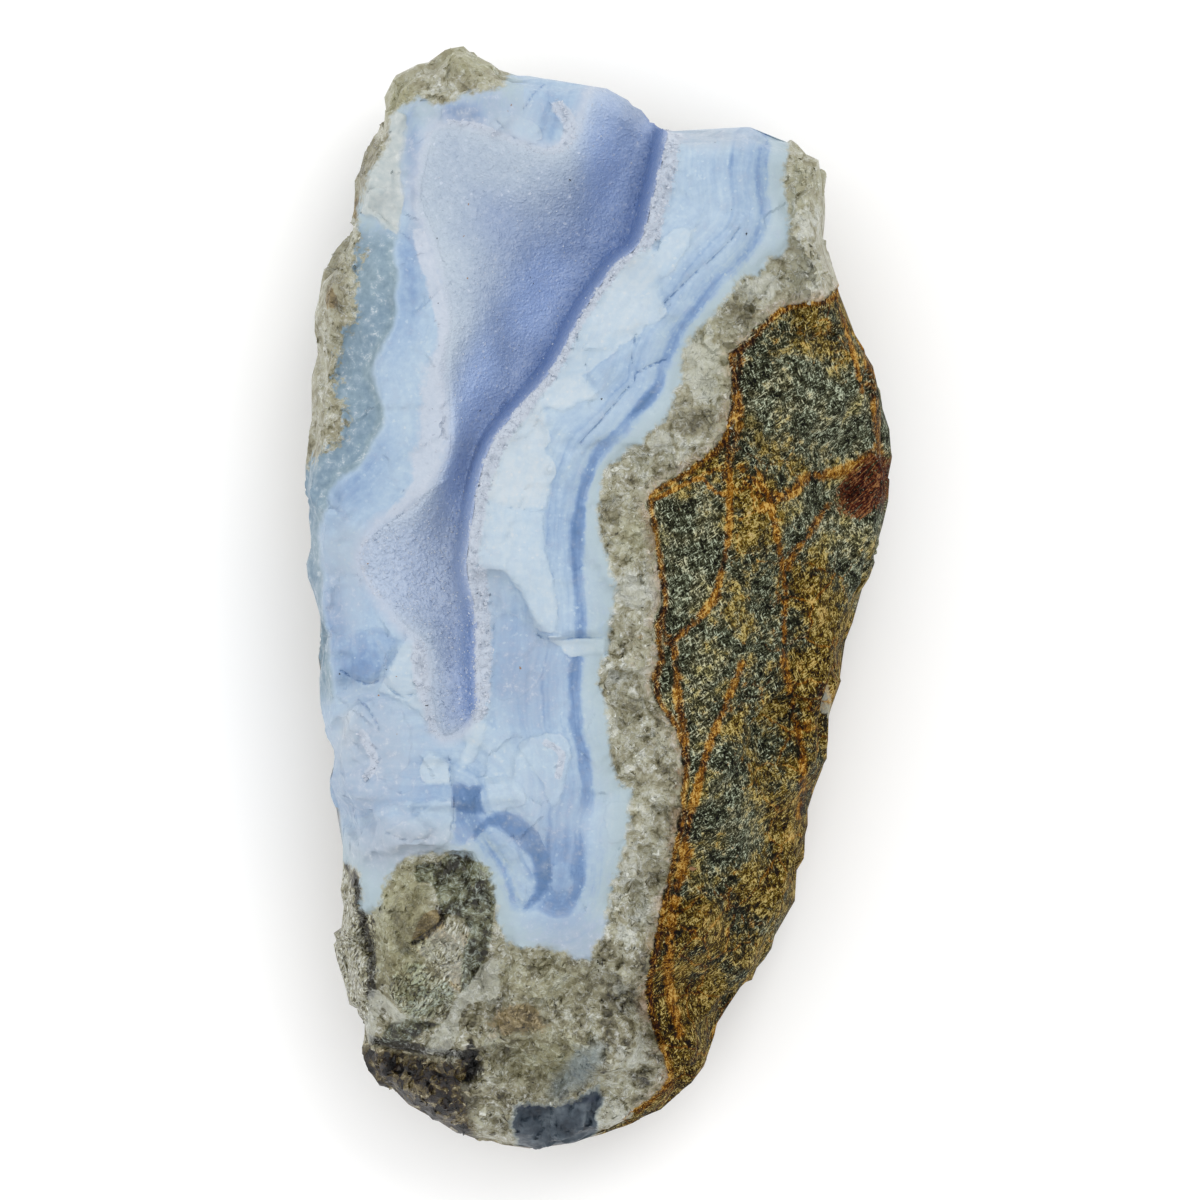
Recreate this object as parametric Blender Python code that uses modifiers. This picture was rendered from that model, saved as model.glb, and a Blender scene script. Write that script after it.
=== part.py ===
"""Blue lace agate geode: a broken chunk of banded agate in its host rock, lying on its back.

The broken face looks up (+Z), the druse-lined hollow runs along it and the dark host rock is at +X.
Sizes are in millimetres and become metres where the meshes are finished.
"""

import math
import random

import bmesh
import bpy
import numpy as np
from mathutils import Vector, geometry, noise
from mathutils.bvhtree import BVHTree

MM = 0.001

# Where the broken face turns over into the sides
SHOULDER_DROP = 5.0
SHOULDER_WIDTH = 3.0
SIDE_LEAST = 4.0

# The hollow: a steep wall under the ridge, easing towards its foot, and a gentle bank
CLIFF_WIDTH = 2.4
CLIFF_WIDTH_LOW = 5.5
CLIFF_EASES_FROM = 6.0
CLIFF_EASES_OVER = 14.0
BANK_WIDTH = 4.0
LIP_HEIGHT = 1.3
LIP_WIDTH = 1.6
LIP_CRYSTAL = 2.6

# Relief of the broken face: lump or chip sizes, and how high or how tilted they are
SWELL_SIZE = 17.0
SWELL_HEIGHT = 0.5
FLAKE_SIZE = 13.0
FLAKE_TILT_AGATE = 0.07
FLAKE_TILT_ROCK = 0.17
CHIP_SIZE = 5.0
CHIP_TILT_QUARTZ = 0.24
CHIP_TILT_HOST = 0.14
GRAIN_SIZE = 4.4
GRAIN_HEIGHT = 0.7
FLOOR_SWELL_SIZE = 9.0
FLOOR_SWELL_HEIGHT = 0.5

# Relief of the sides and the underside
SIDE_CHIP_DEPTH = 0.6
SIDE_CHIPS = ((10.0, 0.22, 0.0), (4.0, 0.12, 80.0))
BACK_FLAKE_SIZE = 14.0
BACK_FLAKE_TILT = 0.12

# The druse: its gap to the stone, its thickness, how far it keeps off each edge, its crystals
CRUST_GAP = 0.45
CRUST_THICKNESS = 1.2
CRUST_INSET = 0.6
CRUST_INSET_CLIFF = 2.3
CRUST_INSET_SIDE = 2.6
CRYSTAL_SPACING = 1.35
CRYSTAL_JITTER = 0.2
CRYSTAL_RISE = (0.6, 1.3)

# Meshing
SLAB_HALF = 3.0
BASE_TRIM = 0.5
SKIN_CELL = 0.8
STONE_TRIANGLES = 6600
SEATING_STEPS = 4
SEED = 7

# The broken chunk's outline seen from above, clockwise from its top point
OUTLINE = (
    (-17.5, 67.0), (-14.0, 65.0), (-8.5, 63.0), (-2.0, 62.2), (1.8, 61.2), (7.5, 57.0),
    (12.2, 56.3), (18.2, 57.0), (21.5, 55.3), (26.2, 54.0), (27.3, 48.0), (28.2, 40.0),
    (30.7, 32.4), (33.6, 25.8), (35.4, 17.4), (35.8, 14.0), (33.8, 5.8), (31.4, -1.4),
    (29.0, -10.5), (27.5, -18.0), (25.2, -25.0), (23.5, -36.5), (18.6, -45.6), (14.5, -50.5),
    (12.8, -55.5), (6.5, -62.0), (-1.0, -65.2), (-6.0, -67.0), (-10.6, -66.0), (-16.6, -65.4),
    (-21.5, -62.4), (-28.0, -57.5), (-29.5, -52.0), (-32.3, -41.5), (-31.2, -33.5), (-31.2, -28.0),
    (-32.8, -23.0), (-32.6, -19.0), (-34.2, -7.2), (-35.6, 4.6), (-35.7, 14.0), (-35.2, 25.0),
    (-34.2, 31.0), (-33.4, 39.5), (-30.2, 46.5), (-28.8, 53.6), (-26.4, 61.0), (-24.0, 63.6),
)

# The hollow's edge: the steep ridge down its right side, then the low bank up its left
RIDGE = (
    (8.0, 58.0), (7.6, 54.0), (6.2, 48.0), (4.6, 42.6), (1.6, 39.8), (-1.9, 34.7),
    (-5.8, 27.6), (-9.1, 23.6), (-12.6, 19.4), (-14.4, 14.8), (-15.6, 7.8), (-16.0, 3.5),
    (-14.8, -2.4), (-14.8, -8.0), (-14.6, -13.2),
)
BANK = (
    (-17.0, -16.0), (-19.2, -16.2), (-20.4, -12.0), (-20.6, -6.2), (-24.0, -2.8), (-27.8, 2.4),
    (-28.6, 5.8), (-26.4, 9.0), (-22.6, 11.0), (-19.6, 14.5), (-17.9, 19.2), (-18.7, 28.0),
    (-18.0, 34.5), (-20.0, 43.0), (-21.9, 47.5), (-21.4, 52.0), (-19.4, 56.8), (-12.0, 55.4),
    (-6.2, 53.6), (-3.2, 55.2), (-1.6, 60.0), (0.5, 62.5), (4.5, 61.5),
)
HOLLOW = RIDGE + BANK

# The host rock's edge against the quartz rind; its own side is to the right of this line
HOST_EDGE = (
    (30.5, 42.0), (28.0, 37.2), (20.4, 34.2), (15.2, 29.3), (16.0, 24.0), (14.6, 19.4),
    (6.2, 12.2), (7.5, 2.0), (6.0, -9.0), (9.6, -18.2), (9.6, -26.0), (7.4, -34.0),
    (5.0, -46.5), (7.6, -58.0), (9.5, -64.0),
)

# The agate's edge against the quartz rind, down the right side and around the foot
AGATE_EDGE = (
    (22.8, 58.0), (21.5, 47.0), (15.4, 37.4), (9.0, 27.5), (7.2, 22.5), (0.6, 16.5),
    (0.0, 8.0), (1.3, -1.0), (0.1, -9.0), (1.0, -20.4), (3.5, -24.5), (1.8, -35.0),
    (0.0, -42.0), (-7.5, -42.3), (-12.0, -37.0), (-15.6, -31.0), (-22.8, -30.0), (-28.5, -35.5),
    (-33.0, -38.5),
)

# Heights of the broken face, hollow left aside
FACE_SPOTS = (
    (-33.0, 0.0, 30.0), (-32.0, 28.0, 29.5), (-33.0, -14.0, 30.5), (-31.0, -29.0, 28.5),
    (-27.0, 50.0, 28.0), (-22.0, 62.0, 27.0), (-28.0, 15.0, 32.5), (-25.0, 36.0, 32.0),
    (-21.0, 28.0, 33.5), (-24.0, -6.0, 33.5), (-27.0, -16.0, 32.0), (-23.0, -26.0, 34.0),
    (-15.0, 61.0, 29.5), (-8.0, 58.5, 31.0), (2.0, 60.5, 31.5), (8.5, 50.0, 36.5),
    (7.5, 41.0, 37.0), (0.5, 32.0, 37.2), (-8.0, 18.5, 37.4), (-12.0, 6.0, 37.0),
    (-9.0, -5.0, 36.0), (-6.0, -16.0, 35.5), (-11.0, -25.0, 35.4), (14.5, 52.0, 35.0),
    (13.0, 38.0, 36.0), (3.5, 23.0, 36.8), (-2.0, 6.0, 36.4), (-2.0, -14.0, 35.8),
    (-3.0, -30.0, 35.5), (-8.0, -38.0, 33.6), (24.5, 50.0, 32.0), (21.0, 40.0, 34.0),
    (12.5, 25.0, 35.4), (4.0, 9.0, 35.8), (4.5, -9.0, 35.5), (5.5, -25.0, 34.8),
    (3.5, -40.0, 33.2), (1.0, -52.0, 29.5), (3.0, -61.0, 23.0), (29.0, 30.0, 30.5),
    (22.0, 28.5, 34.2), (18.0, 10.0, 34.8), (12.0, 0.0, 34.6), (13.0, -20.0, 33.6),
    (10.5, -38.0, 30.5), (9.0, -53.0, 26.0), (25.5, 1.0, 31.0), (33.5, 15.0, 25.0),
    (30.0, 0.0, 24.0), (22.0, -18.0, 28.0), (25.0, -30.0, 21.5), (19.0, -40.0, 22.0),
    (14.0, -49.0, 20.5), (-20.0, -38.0, 33.0), (-24.0, -46.0, 30.0), (-12.0, -46.0, 31.0),
    (-16.0, -52.0, 28.5), (-30.0, -42.0, 24.5), (-30.0, -51.0, 23.5), (-25.0, -57.0, 22.0),
    (-19.0, -57.0, 24.0), (-11.0, -57.0, 25.0), (-5.0, -59.5, 24.5), (-6.0, -65.0, 21.0),
    (-14.0, -64.0, 20.5),
)

# Heights of the druse on the hollow's floor, deepest under the ridge
FLOOR_SPOTS = (
    (-20.5, 52.0, 30.6), (-10.0, 51.0, 29.2), (0.0, 59.0, 27.6), (5.5, 57.0, 25.6),
    (3.5, 48.0, 24.4), (-5.0, 46.0, 27.2), (-13.0, 41.0, 29.8), (-17.0, 36.0, 31.0),
    (-2.5, 38.0, 24.6), (-8.5, 30.0, 25.6), (-15.0, 26.0, 29.0), (-11.0, 22.5, 25.2),
    (-15.6, 16.0, 27.2), (-17.5, 9.0, 26.8), (-20.5, 1.0, 28.8), (-26.5, 5.0, 31.4),
    (-25.0, -1.0, 31.4), (-18.0, -4.0, 30.2), (-17.5, -11.0, 32.0),
)

# Broken facets of the underside: direction they face in degrees, where each leaves the
# resting facet and its steepness
BACK_FACETS = (
    (-8.0, 18.0, 0.62), (38.0, 31.0, 0.55), (78.0, 48.0, 0.75), (112.0, 40.0, 0.5),
    (160.0, 20.0, 0.5), (186.0, 21.0, 0.7), (222.0, 33.0, 0.55), (262.0, 47.0, 0.55),
    (296.0, 41.0, 0.5), (332.0, 24.0, 0.45),
)

# Steps of the broken face: points along the edge, drop on its right-hand side, fading length
LEDGES = (
    (((-16.0, 4.5), (-12.0, 3.2), (-9.6, 1.0), (-8.6, -2.5), (-7.0, -4.2), (1.2, -4.3)), 1.7, 5.0),
    (((6.5, 41.0), (8.0, 34.0), (2.0, 29.0), (-1.8, 27.0), (-0.4, 24.6), (5.5, 24.2)), 1.2, 5.0),
    (((-7.0, 23.6), (-6.6, 19.0), (-5.2, 16.0), (-3.0, 12.0)), 0.9, 4.0),
    (((-4.5, -16.0), (-9.0, -16.8), (-11.5, -21.0), (-17.6, -19.0), (-18.0, -23.0)), 1.2, 4.0),
    (((-31.0, -9.0), (-28.0, -10.0), (-25.8, -8.0), (-24.4, -4.6)), 1.4, 4.0),
    (((-33.5, -25.0), (-27.0, -24.0), (-19.0, -25.0), (-10.0, -24.0), (-6.5, -29.0)), 1.0, 4.0),
    (((-28.5, 42.0), (-29.0, 33.0), (-31.0, 28.0), (-29.0, 20.0), (-31.0, 13.0), (-33.5, 8.0)), -1.3, 4.0),
    (((-24.6, 44.0), (-25.0, 34.0), (-27.6, 27.0), (-26.4, 21.0), (-31.0, 15.0), (-33.6, 7.0)), 1.0, 3.5),
    (((-20.0, 60.5), (-12.0, 61.0), (-10.5, 57.5), (-14.0, 54.5)), -1.0, 4.0),
    (((-33.0, -29.5), (-28.5, -31.0), (-22.8, -29.6), (-15.6, -30.6), (-11.6, -38.5)), 2.0, 5.0),
    (((-27.0, -36.0), (-26.5, -44.0), (-24.0, -52.0)), 2.6, 6.0),
    (((-27.0, -53.5), (-20.0, -54.5), (-12.0, -54.0), (-4.0, -56.5), (3.0, -58.5)), 2.2, 6.0),
    (HOST_EDGE, 0.9, 3.0),
)

# Colours
STONE_COLOUR = (0.40, 0.50, 0.60, 1.0)
CRUST_COLOUR = (0.33, 0.40, 0.60, 1.0)


def smooth_loop(points, steps=4, closed=True):
    """Points of a Catmull-Rom curve through the given ones."""
    pts = np.array(points, dtype=float)
    count = len(pts)
    spans = count if closed else count - 1
    out = []
    for i in range(spans):
        picks = [i - 1, i, i + 1, i + 2]
        picks = [k % count if closed else min(max(k, 0), count - 1) for k in picks]
        a, b, c, d = pts[picks]
        for k in range(steps):
            t = k / steps
            bend = 2 * b + (c - a) * t + (2 * a - 5 * b + 4 * c - d) * t * t
            out.append(0.5 * (bend + (3 * b - a - 3 * c + d) * t ** 3))
    if not closed:
        out.append(pts[-1])
    return np.array(out)


def along_line(xy, line):
    """Distance to an open line, side of it (+1 left, -1 right) and the share of its length."""
    best = np.full(len(xy), 1e9)
    side = np.ones(len(xy))
    share = np.zeros(len(xy))
    for i in range(len(line) - 1):
        a = line[i]
        ab = line[i + 1] - a
        t = np.clip(((xy - a) @ ab) / (ab @ ab), 0.0, 1.0)
        away = xy - a - t[:, None] * ab
        gap = np.hypot(away[:, 0], away[:, 1])
        near = gap < best
        cross = ab[0] * (xy[:, 1] - a[1]) - ab[1] * (xy[:, 0] - a[0])
        best = np.where(near, gap, best)
        side = np.where(near, np.where(cross >= 0, 1.0, -1.0), side)
        share = np.where(near, (i + t) / (len(line) - 1), share)
    return best, side, share


def inside_depth(xy, loop):
    """Distance to a closed loop, positive inside it."""
    closed = np.vstack([loop, loop[:1]])
    gap, _, _ = along_line(xy, closed)
    crossings = np.zeros(len(xy), dtype=int)
    for a, b in zip(closed[:-1], closed[1:]):
        spans = (a[1] > xy[:, 1]) != (b[1] > xy[:, 1])
        rise = b[1] - a[1] if b[1] != a[1] else 1e-9
        reach = a[0] + (xy[:, 1] - a[1]) * (b[0] - a[0]) / rise
        crossings += spans & (xy[:, 0] < reach)
    return np.where(crossings % 2 == 1, gap, -gap)


def ease(t):
    t = np.clip(t, 0.0, 1.0)
    return t * t * (3.0 - 2.0 * t)


def between_spots(xy, spots, softness=3.5):
    """Height between surveyed spots, weighted by closeness."""
    total = np.zeros(len(xy))
    weights = np.zeros(len(xy))
    for x, y, z in spots:
        away = (xy[:, 0] - x) ** 2 + (xy[:, 1] - y) ** 2 + softness ** 2
        weight = away ** -2.0
        total += weight * z
        weights += weight
    return total / weights


def roughness(points, size, octaves=3, offset=0.0):
    """Fractal noise of a given lump size at each point, about -1 to 1."""
    shift = Vector((offset, -offset, 2.0 * offset))
    return np.array([noise.fractal(Vector(p) / size + shift, 1.0, 2.0, octaves) for p in points])


def grains(points, size):
    """Rounded grains: high in the middle of each cell, low along the joints."""
    out = []
    for p in points:
        near, _ = noise.voronoi(Vector(p) / size)
        out.append(min((near[1] - near[0]) * 2.0, 1.0))
    return np.array(out)


def facets(points, size):
    """Flat chips: each cell is a plane with a tilt of its own."""
    out = []
    for p in points:
        spot = Vector(p) / size
        _, sites = noise.voronoi(spot)
        tilt = noise.cell_vector(sites[0] * 7.3) - Vector((0.5, 0.5, 0.5))
        out.append(2.0 * tilt.dot(spot - sites[0]) * size)
    return np.array(out)


def flat(xy):
    return np.column_stack([xy, np.zeros(len(xy))])


def ledge_relief(xy):
    relief = np.zeros(len(xy))
    for points, drop, fade in LEDGES:
        gap, side, share = along_line(xy, np.array(points, dtype=float))
        ends = ease(np.minimum(share, 1.0 - share) / 0.12)
        step = 0.5 + 0.5 * np.clip(side * gap / 0.5, -1.0, 1.0)
        relief += drop * (step - 0.5) * np.exp(-gap / fade) * ends
    return relief


def hollow_wall(xy, depth):
    """Share of the way down to the hollow's floor, and how far the nearest edge is a low bank."""
    from_ridge, _, _ = along_line(xy, smooth_loop(RIDGE, closed=False))
    bank = ease((from_ridge - np.abs(depth)) / BANK_WIDTH)
    eased = ease((CLIFF_EASES_FROM - xy[:, 1]) / CLIFF_EASES_OVER)
    cliff = CLIFF_WIDTH + (CLIFF_WIDTH_LOW - CLIFF_WIDTH) * eased
    width = cliff + (BANK_WIDTH - cliff) * bank
    return ease(depth / width), bank


def rock_share(xy):
    """1 on quartz and host rock, 0 on agate, and the same for the host rock alone."""
    gap, side, _ = along_line(xy, smooth_loop(AGATE_EDGE, 2, closed=False))
    rind = 0.5 + 0.5 * np.clip(side * gap / 0.8, -1.0, 1.0)
    gap, side, _ = along_line(xy, smooth_loop(HOST_EDGE, 2, closed=False))
    host = 0.5 + 0.5 * np.clip(side * gap / 0.8, -1.0, 1.0)
    corner = ease((inside_depth(xy, np.array(OUTLINE)) - 6.0) / -3.0) * ease((-14.0 - xy[:, 0]) / 6.0)
    return np.maximum(rind, corner), host


def face_height(xy, depth):
    """The broken face without the outline's rounding."""
    rind, host = rock_share(xy)
    height = between_spots(xy, FACE_SPOTS) + ledge_relief(xy)
    height += roughness(flat(xy), SWELL_SIZE, 2) * SWELL_HEIGHT
    flake_tilt = FLAKE_TILT_AGATE + (FLAKE_TILT_ROCK - FLAKE_TILT_AGATE) * rind
    height += facets(flat(xy), FLAKE_SIZE) * flake_tilt
    chip_tilt = CHIP_TILT_QUARTZ + (CHIP_TILT_HOST - CHIP_TILT_QUARTZ) * host
    height += facets(flat(xy), CHIP_SIZE) * chip_tilt * rind
    height += (grains(flat(xy), GRAIN_SIZE) - 0.5) * GRAIN_HEIGHT * rind * (1.0 - host)
    share, bank = hollow_wall(xy, depth)
    swell = roughness(flat(xy), FLOOR_SWELL_SIZE, 2, 5.0) * FLOOR_SWELL_HEIGHT
    floor = between_spots(xy, FLOOR_SPOTS, 4.0) + swell
    lip = LIP_HEIGHT * np.exp(-(depth / LIP_WIDTH) ** 2) * (1.0 - 0.5 * bank)
    lip *= 0.75 + 0.6 * roughness(flat(xy), LIP_CRYSTAL, 2, 8.0)
    return height + lip, floor, share


def stone_front(xy, depth):
    """The stone under the crust and the bare face around it."""
    height, floor, share = face_height(xy, depth)
    floor = floor - CRUST_GAP - CRUST_THICKNESS
    return height * (1.0 - share) + floor * share


def stone_back(xy):
    """The underside: a flat resting facet and the broken facets that rise from it."""
    back = np.zeros(len(xy))
    for degrees, start, steepness in BACK_FACETS:
        way = math.radians(degrees)
        along = xy[:, 0] * math.cos(way) + xy[:, 1] * math.sin(way)
        back = np.maximum(back, (along - start) * steepness)
    return back + facets(flat(xy) + 50.0, BACK_FLAKE_SIZE) * BACK_FLAKE_TILT * ease(back / 2.0)


def new_object(name, mesh, group):
    obj = bpy.data.objects.new(name, mesh)
    group.objects.link(obj)
    return obj


def apply_modifier(obj, kind, **settings):
    modifier = obj.modifiers.new(kind.title(), kind)
    for key, value in settings.items():
        setattr(modifier, key, value)
    evaluated = obj.evaluated_get(bpy.context.evaluated_depsgraph_get())
    mesh = bpy.data.meshes.new_from_object(evaluated)
    obj.modifiers.clear()
    old = obj.data
    obj.data = mesh
    bpy.data.meshes.remove(old)


def read_points(mesh):
    co = np.empty(len(mesh.vertices) * 3, dtype=np.float32)
    mesh.vertices.foreach_get("co", co)
    return co.reshape(-1, 3).astype(float)


def write_points(mesh, points):
    mesh.vertices.foreach_set("co", points.astype(np.float32).ravel())
    mesh.update()


def outline_slab(name, group):
    """The outline as a 2D curve, thickened to a flat slab."""
    curve = bpy.data.curves.new(name, "CURVE")
    curve.dimensions = "2D"
    curve.fill_mode = "BOTH"
    curve.extrude = SLAB_HALF
    loop = smooth_loop(OUTLINE)
    spline = curve.splines.new("POLY")
    spline.points.add(len(loop) - 1)
    for point, (x, y) in zip(spline.points, loop):
        point.co = (x, y, 0.0, 1.0)
    spline.use_cyclic_u = True
    guide = new_object(name + "_outline", curve, group)
    mesh = bpy.data.meshes.new_from_object(guide.evaluated_get(bpy.context.evaluated_depsgraph_get()))
    bpy.data.objects.remove(guide)
    bpy.data.curves.remove(curve)
    bm = bmesh.new()
    bm.from_mesh(mesh)
    bmesh.ops.remove_doubles(bm, verts=bm.verts, dist=0.0001)
    bmesh.ops.recalc_face_normals(bm, faces=bm.faces)
    bm.to_mesh(mesh)
    bm.free()
    return new_object(name, mesh, group)


def shape_stone(obj):
    """Raise the slab's top to the broken face and its underside to the back."""
    points = read_points(obj.data)
    xy = points[:, :2]
    edge = inside_depth(xy, smooth_loop(OUTLINE))
    depth = inside_depth(xy, smooth_loop(HOLLOW))
    width = SHOULDER_WIDTH * (1.0 + 0.5 * roughness(flat(xy), 15.0, 1, 20.0))
    shoulder = SHOULDER_DROP * (1.0 - np.clip(edge / width, 0.0, 1.0)) ** 2.0
    top = stone_front(xy, depth) - shoulder
    under = np.minimum(stone_back(xy), top - SIDE_LEAST)
    share = np.clip((points[:, 2] + SLAB_HALF) / (2.0 * SLAB_HALF), 0.0, 1.0)
    points[:, 2] = under + (top - under) * share
    write_points(obj.data, points)


def break_sides(obj):
    """Chip the steep sides and the back inwards; the broken face and the resting facet stay."""
    points = read_points(obj.data)
    normals = np.empty(len(points) * 3, dtype=np.float32)
    obj.data.vertices.foreach_get("normal", normals)
    normals = normals.reshape(-1, 3).astype(float)
    steep = 1.0 - ease((normals[:, 2] - 0.15) / 0.5)
    above_rest = ease((points[:, 2] - 1.0) / 3.0)
    chips = np.full(len(points), SIDE_CHIP_DEPTH)
    for size, tilt, offset in SIDE_CHIPS:
        chips += facets(points + offset, size) * tilt
    points -= normals * (np.clip(chips, 0.0, 2.0) * steep * above_rest)[:, None]
    write_points(obj.data, points)


def trim_base(obj):
    """Cut the resting facet flat."""
    bm = bmesh.new()
    bm.from_mesh(obj.data)
    cut = bmesh.ops.bisect_plane(
        bm,
        geom=bm.verts[:] + bm.edges[:] + bm.faces[:],
        dist=0.0001,
        plane_co=(0.0, 0.0, BASE_TRIM),
        plane_no=(0.0, 0.0, -1.0),
        clear_outer=True,
    )
    edges = [item for item in cut["geom_cut"] if isinstance(item, bmesh.types.BMEdge)]
    bmesh.ops.holes_fill(bm, edges=edges, sides=0)
    bmesh.ops.triangulate(bm, faces=bm.faces)
    bmesh.ops.recalc_face_normals(bm, faces=bm.faces)
    bm.to_mesh(obj.data)
    bm.free()


def make_stone(group):
    stone = outline_slab("agate_stone", group)
    apply_modifier(stone, "REMESH", mode="VOXEL", voxel_size=SKIN_CELL)
    shape_stone(stone)
    apply_modifier(stone, "REMESH", mode="VOXEL", voxel_size=SKIN_CELL)
    break_sides(stone)
    ratio = STONE_TRIANGLES / (2.0 * len(stone.data.polygons))
    apply_modifier(stone, "DECIMATE", decimate_type="COLLAPSE", ratio=ratio, use_collapse_triangulate=True)
    trim_base(stone)
    return stone


def crust_room(xy):
    """Distance inside the crust's own edge, which keeps off the hollow's wall and the chunk's side."""
    depth = inside_depth(xy, smooth_loop(HOLLOW))
    _, bank = hollow_wall(xy, depth)
    room = depth - CRUST_INSET_CLIFF + (CRUST_INSET_CLIFF - CRUST_INSET) * bank
    return np.minimum(room, inside_depth(xy, smooth_loop(OUTLINE)) - CRUST_INSET_SIDE)


def crust_border():
    """The hollow's edge drawn in to where the crust ends."""
    xy = smooth_loop(HOLLOW)
    small = 0.02
    for _ in range(12):
        room = crust_room(xy)
        slope = np.column_stack([
            crust_room(xy + (small, 0.0)) - room,
            crust_room(xy + (0.0, small)) - room,
        ]) / small
        steepness = np.maximum((slope ** 2).sum(axis=1), 0.5)
        xy = xy - 0.7 * (room / steepness)[:, None] * slope
    border = [xy[0]]
    for spot, room in zip(xy, crust_room(xy)):
        fits = min(np.hypot(*(spot - kept)) for kept in border) > 0.7 * CRYSTAL_SPACING
        if fits and abs(room) < 0.15:
            border.append(spot)
    return border


def crystal_spots(low, high, rng):
    """A triangular net of points; every third one is the tip of a six-sided crystal."""
    row_step = CRYSTAL_SPACING * math.sqrt(0.75)
    spots = []
    tips = []
    for row in range(math.ceil((high[1] - low[1]) / row_step)):
        for column in range(math.ceil((high[0] - low[0]) / CRYSTAL_SPACING)):
            x = low[0] + (column + 0.5 * (row % 2)) * CRYSTAL_SPACING
            y = low[1] + row * row_step
            x += rng.uniform(-CRYSTAL_JITTER, CRYSTAL_JITTER) * CRYSTAL_SPACING
            y += rng.uniform(-CRYSTAL_JITTER, CRYSTAL_JITTER) * CRYSTAL_SPACING
            spots.append((x, y))
            tips.append((column - row // 2 - row) % 3 == 0)
    return spots, tips


def seat_on_stone(bm, stone):
    """Lay the sheet over the stone and lift it until it clears it by the gap all over."""
    solid = bmesh.new()
    solid.from_mesh(stone.data)
    tree = BVHTree.FromBMesh(solid)
    solid.free()

    def bare_height(x, y):
        return tree.ray_cast(Vector((x, y, 90.0)), Vector((0.0, 0.0, -1.0)))[0].z

    for vert in bm.verts:
        vert.co.z = bare_height(vert.co.x, vert.co.y) + CRUST_GAP
    steps = range(SEATING_STEPS + 1)
    shares = [(i, j, SEATING_STEPS - i - j) for i in steps for j in steps if i + j <= SEATING_STEPS]
    for face in bm.faces:
        a, b, c = face.verts
        for i, j, k in shares:
            spot = (a.co * i + b.co * j + c.co * k) / SEATING_STEPS
            lack = bare_height(spot.x, spot.y) + CRUST_GAP - spot.z
            if lack > 0.0:
                for vert in (a, b, c):
                    vert.co.z += lack


def make_crust(group, stone):
    """One crust of crystals: a triangular net over the hollow's floor, thickened, with raised tips."""
    rng = random.Random(SEED)
    border = crust_border()
    low = np.min(border, axis=0)
    high = np.max(border, axis=0)
    spots, is_tip = crystal_spots(low, high, rng)
    room = crust_room(np.array(spots))
    inner = [i for i in range(len(spots)) if room[i] > 0.6 * CRYSTAL_SPACING]
    corners = [Vector(spot) for spot in border] + [Vector(spots[i]) for i in inner]
    tips = {len(border) + k for k, i in enumerate(inner) if is_tip[i]}
    ring = [(i, (i + 1) % len(border)) for i in range(len(border))]
    net = geometry.delaunay_2d_cdt(corners, ring, [], 1, 0.0001)
    bm = bmesh.new()
    verts = [bm.verts.new((co.x, co.y, 0.0)) for co in net[0]]
    raised_tips = [bool(tips.intersection(origin)) for origin in net[3]]
    for triangle in net[2]:
        bm.faces.new([verts[i] for i in triangle])
    loose = [vert for vert in bm.verts if not vert.link_faces]
    seat_on_stone(bm, stone)
    heights = [rng.uniform(*CRYSTAL_RISE) if tip else 0.0 for tip in raised_tips]
    made = bmesh.ops.extrude_face_region(bm, geom=bm.faces[:])
    upper = {item for item in made["geom"] if isinstance(item, bmesh.types.BMVert)}
    lift = {(vert.co.x, vert.co.y): rise for vert, rise in zip(verts, heights)}
    for vert in upper:
        vert.co.z += CRUST_THICKNESS + lift[(vert.co.x, vert.co.y)]
    bmesh.ops.delete(bm, geom=loose, context="VERTS")
    bmesh.ops.recalc_face_normals(bm, faces=bm.faces)
    mesh = bpy.data.meshes.new("druse_crust")
    bm.to_mesh(mesh)
    bm.free()
    return new_object("druse_crust", mesh, group)


def paint(obj, name, colour, rough):
    material = bpy.data.materials.new(name)
    material.use_nodes = True
    shader = material.node_tree.nodes["Principled BSDF"]
    shader.inputs["Base Color"].default_value = colour
    shader.inputs["Roughness"].default_value = rough
    shader.inputs["Metallic"].default_value = 0.0
    material.diffuse_color = colour
    obj.data.materials.clear()
    obj.data.materials.append(material)


def centre_and_scale(objects):
    """Put the whole's middle at x = y = 0 and its resting facet at z = 0, in metres."""
    points = np.vstack([read_points(obj.data) for obj in objects])
    middle = (points.min(axis=0) + points.max(axis=0)) / 2
    for obj in objects:
        shifted = read_points(obj.data)
        shifted -= (middle[0], middle[1], BASE_TRIM)
        write_points(obj.data, shifted * MM)


def main():
    for obj in list(bpy.data.objects):
        bpy.data.objects.remove(obj)
    group = bpy.data.collections.new("blue_lace_agate_geode")
    bpy.context.scene.collection.children.link(group)
    stone = make_stone(group)
    crust = make_crust(group, stone)
    centre_and_scale([stone, crust])
    paint(stone, "banded_agate_in_rock", STONE_COLOUR, 0.45)
    paint(crust, "druse_crystal", CRUST_COLOUR, 0.3)


main()
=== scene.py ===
"""Blue lace agate geode: its fine surface, druse and loose grains, their materials and the studio.

Forms are drawn in millimetres, as in the part's own source, and become metres where meshes are made.
"""

import math
import random

import bpy
import numpy as np
from mathutils import Matrix, Vector, geometry, noise


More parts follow.
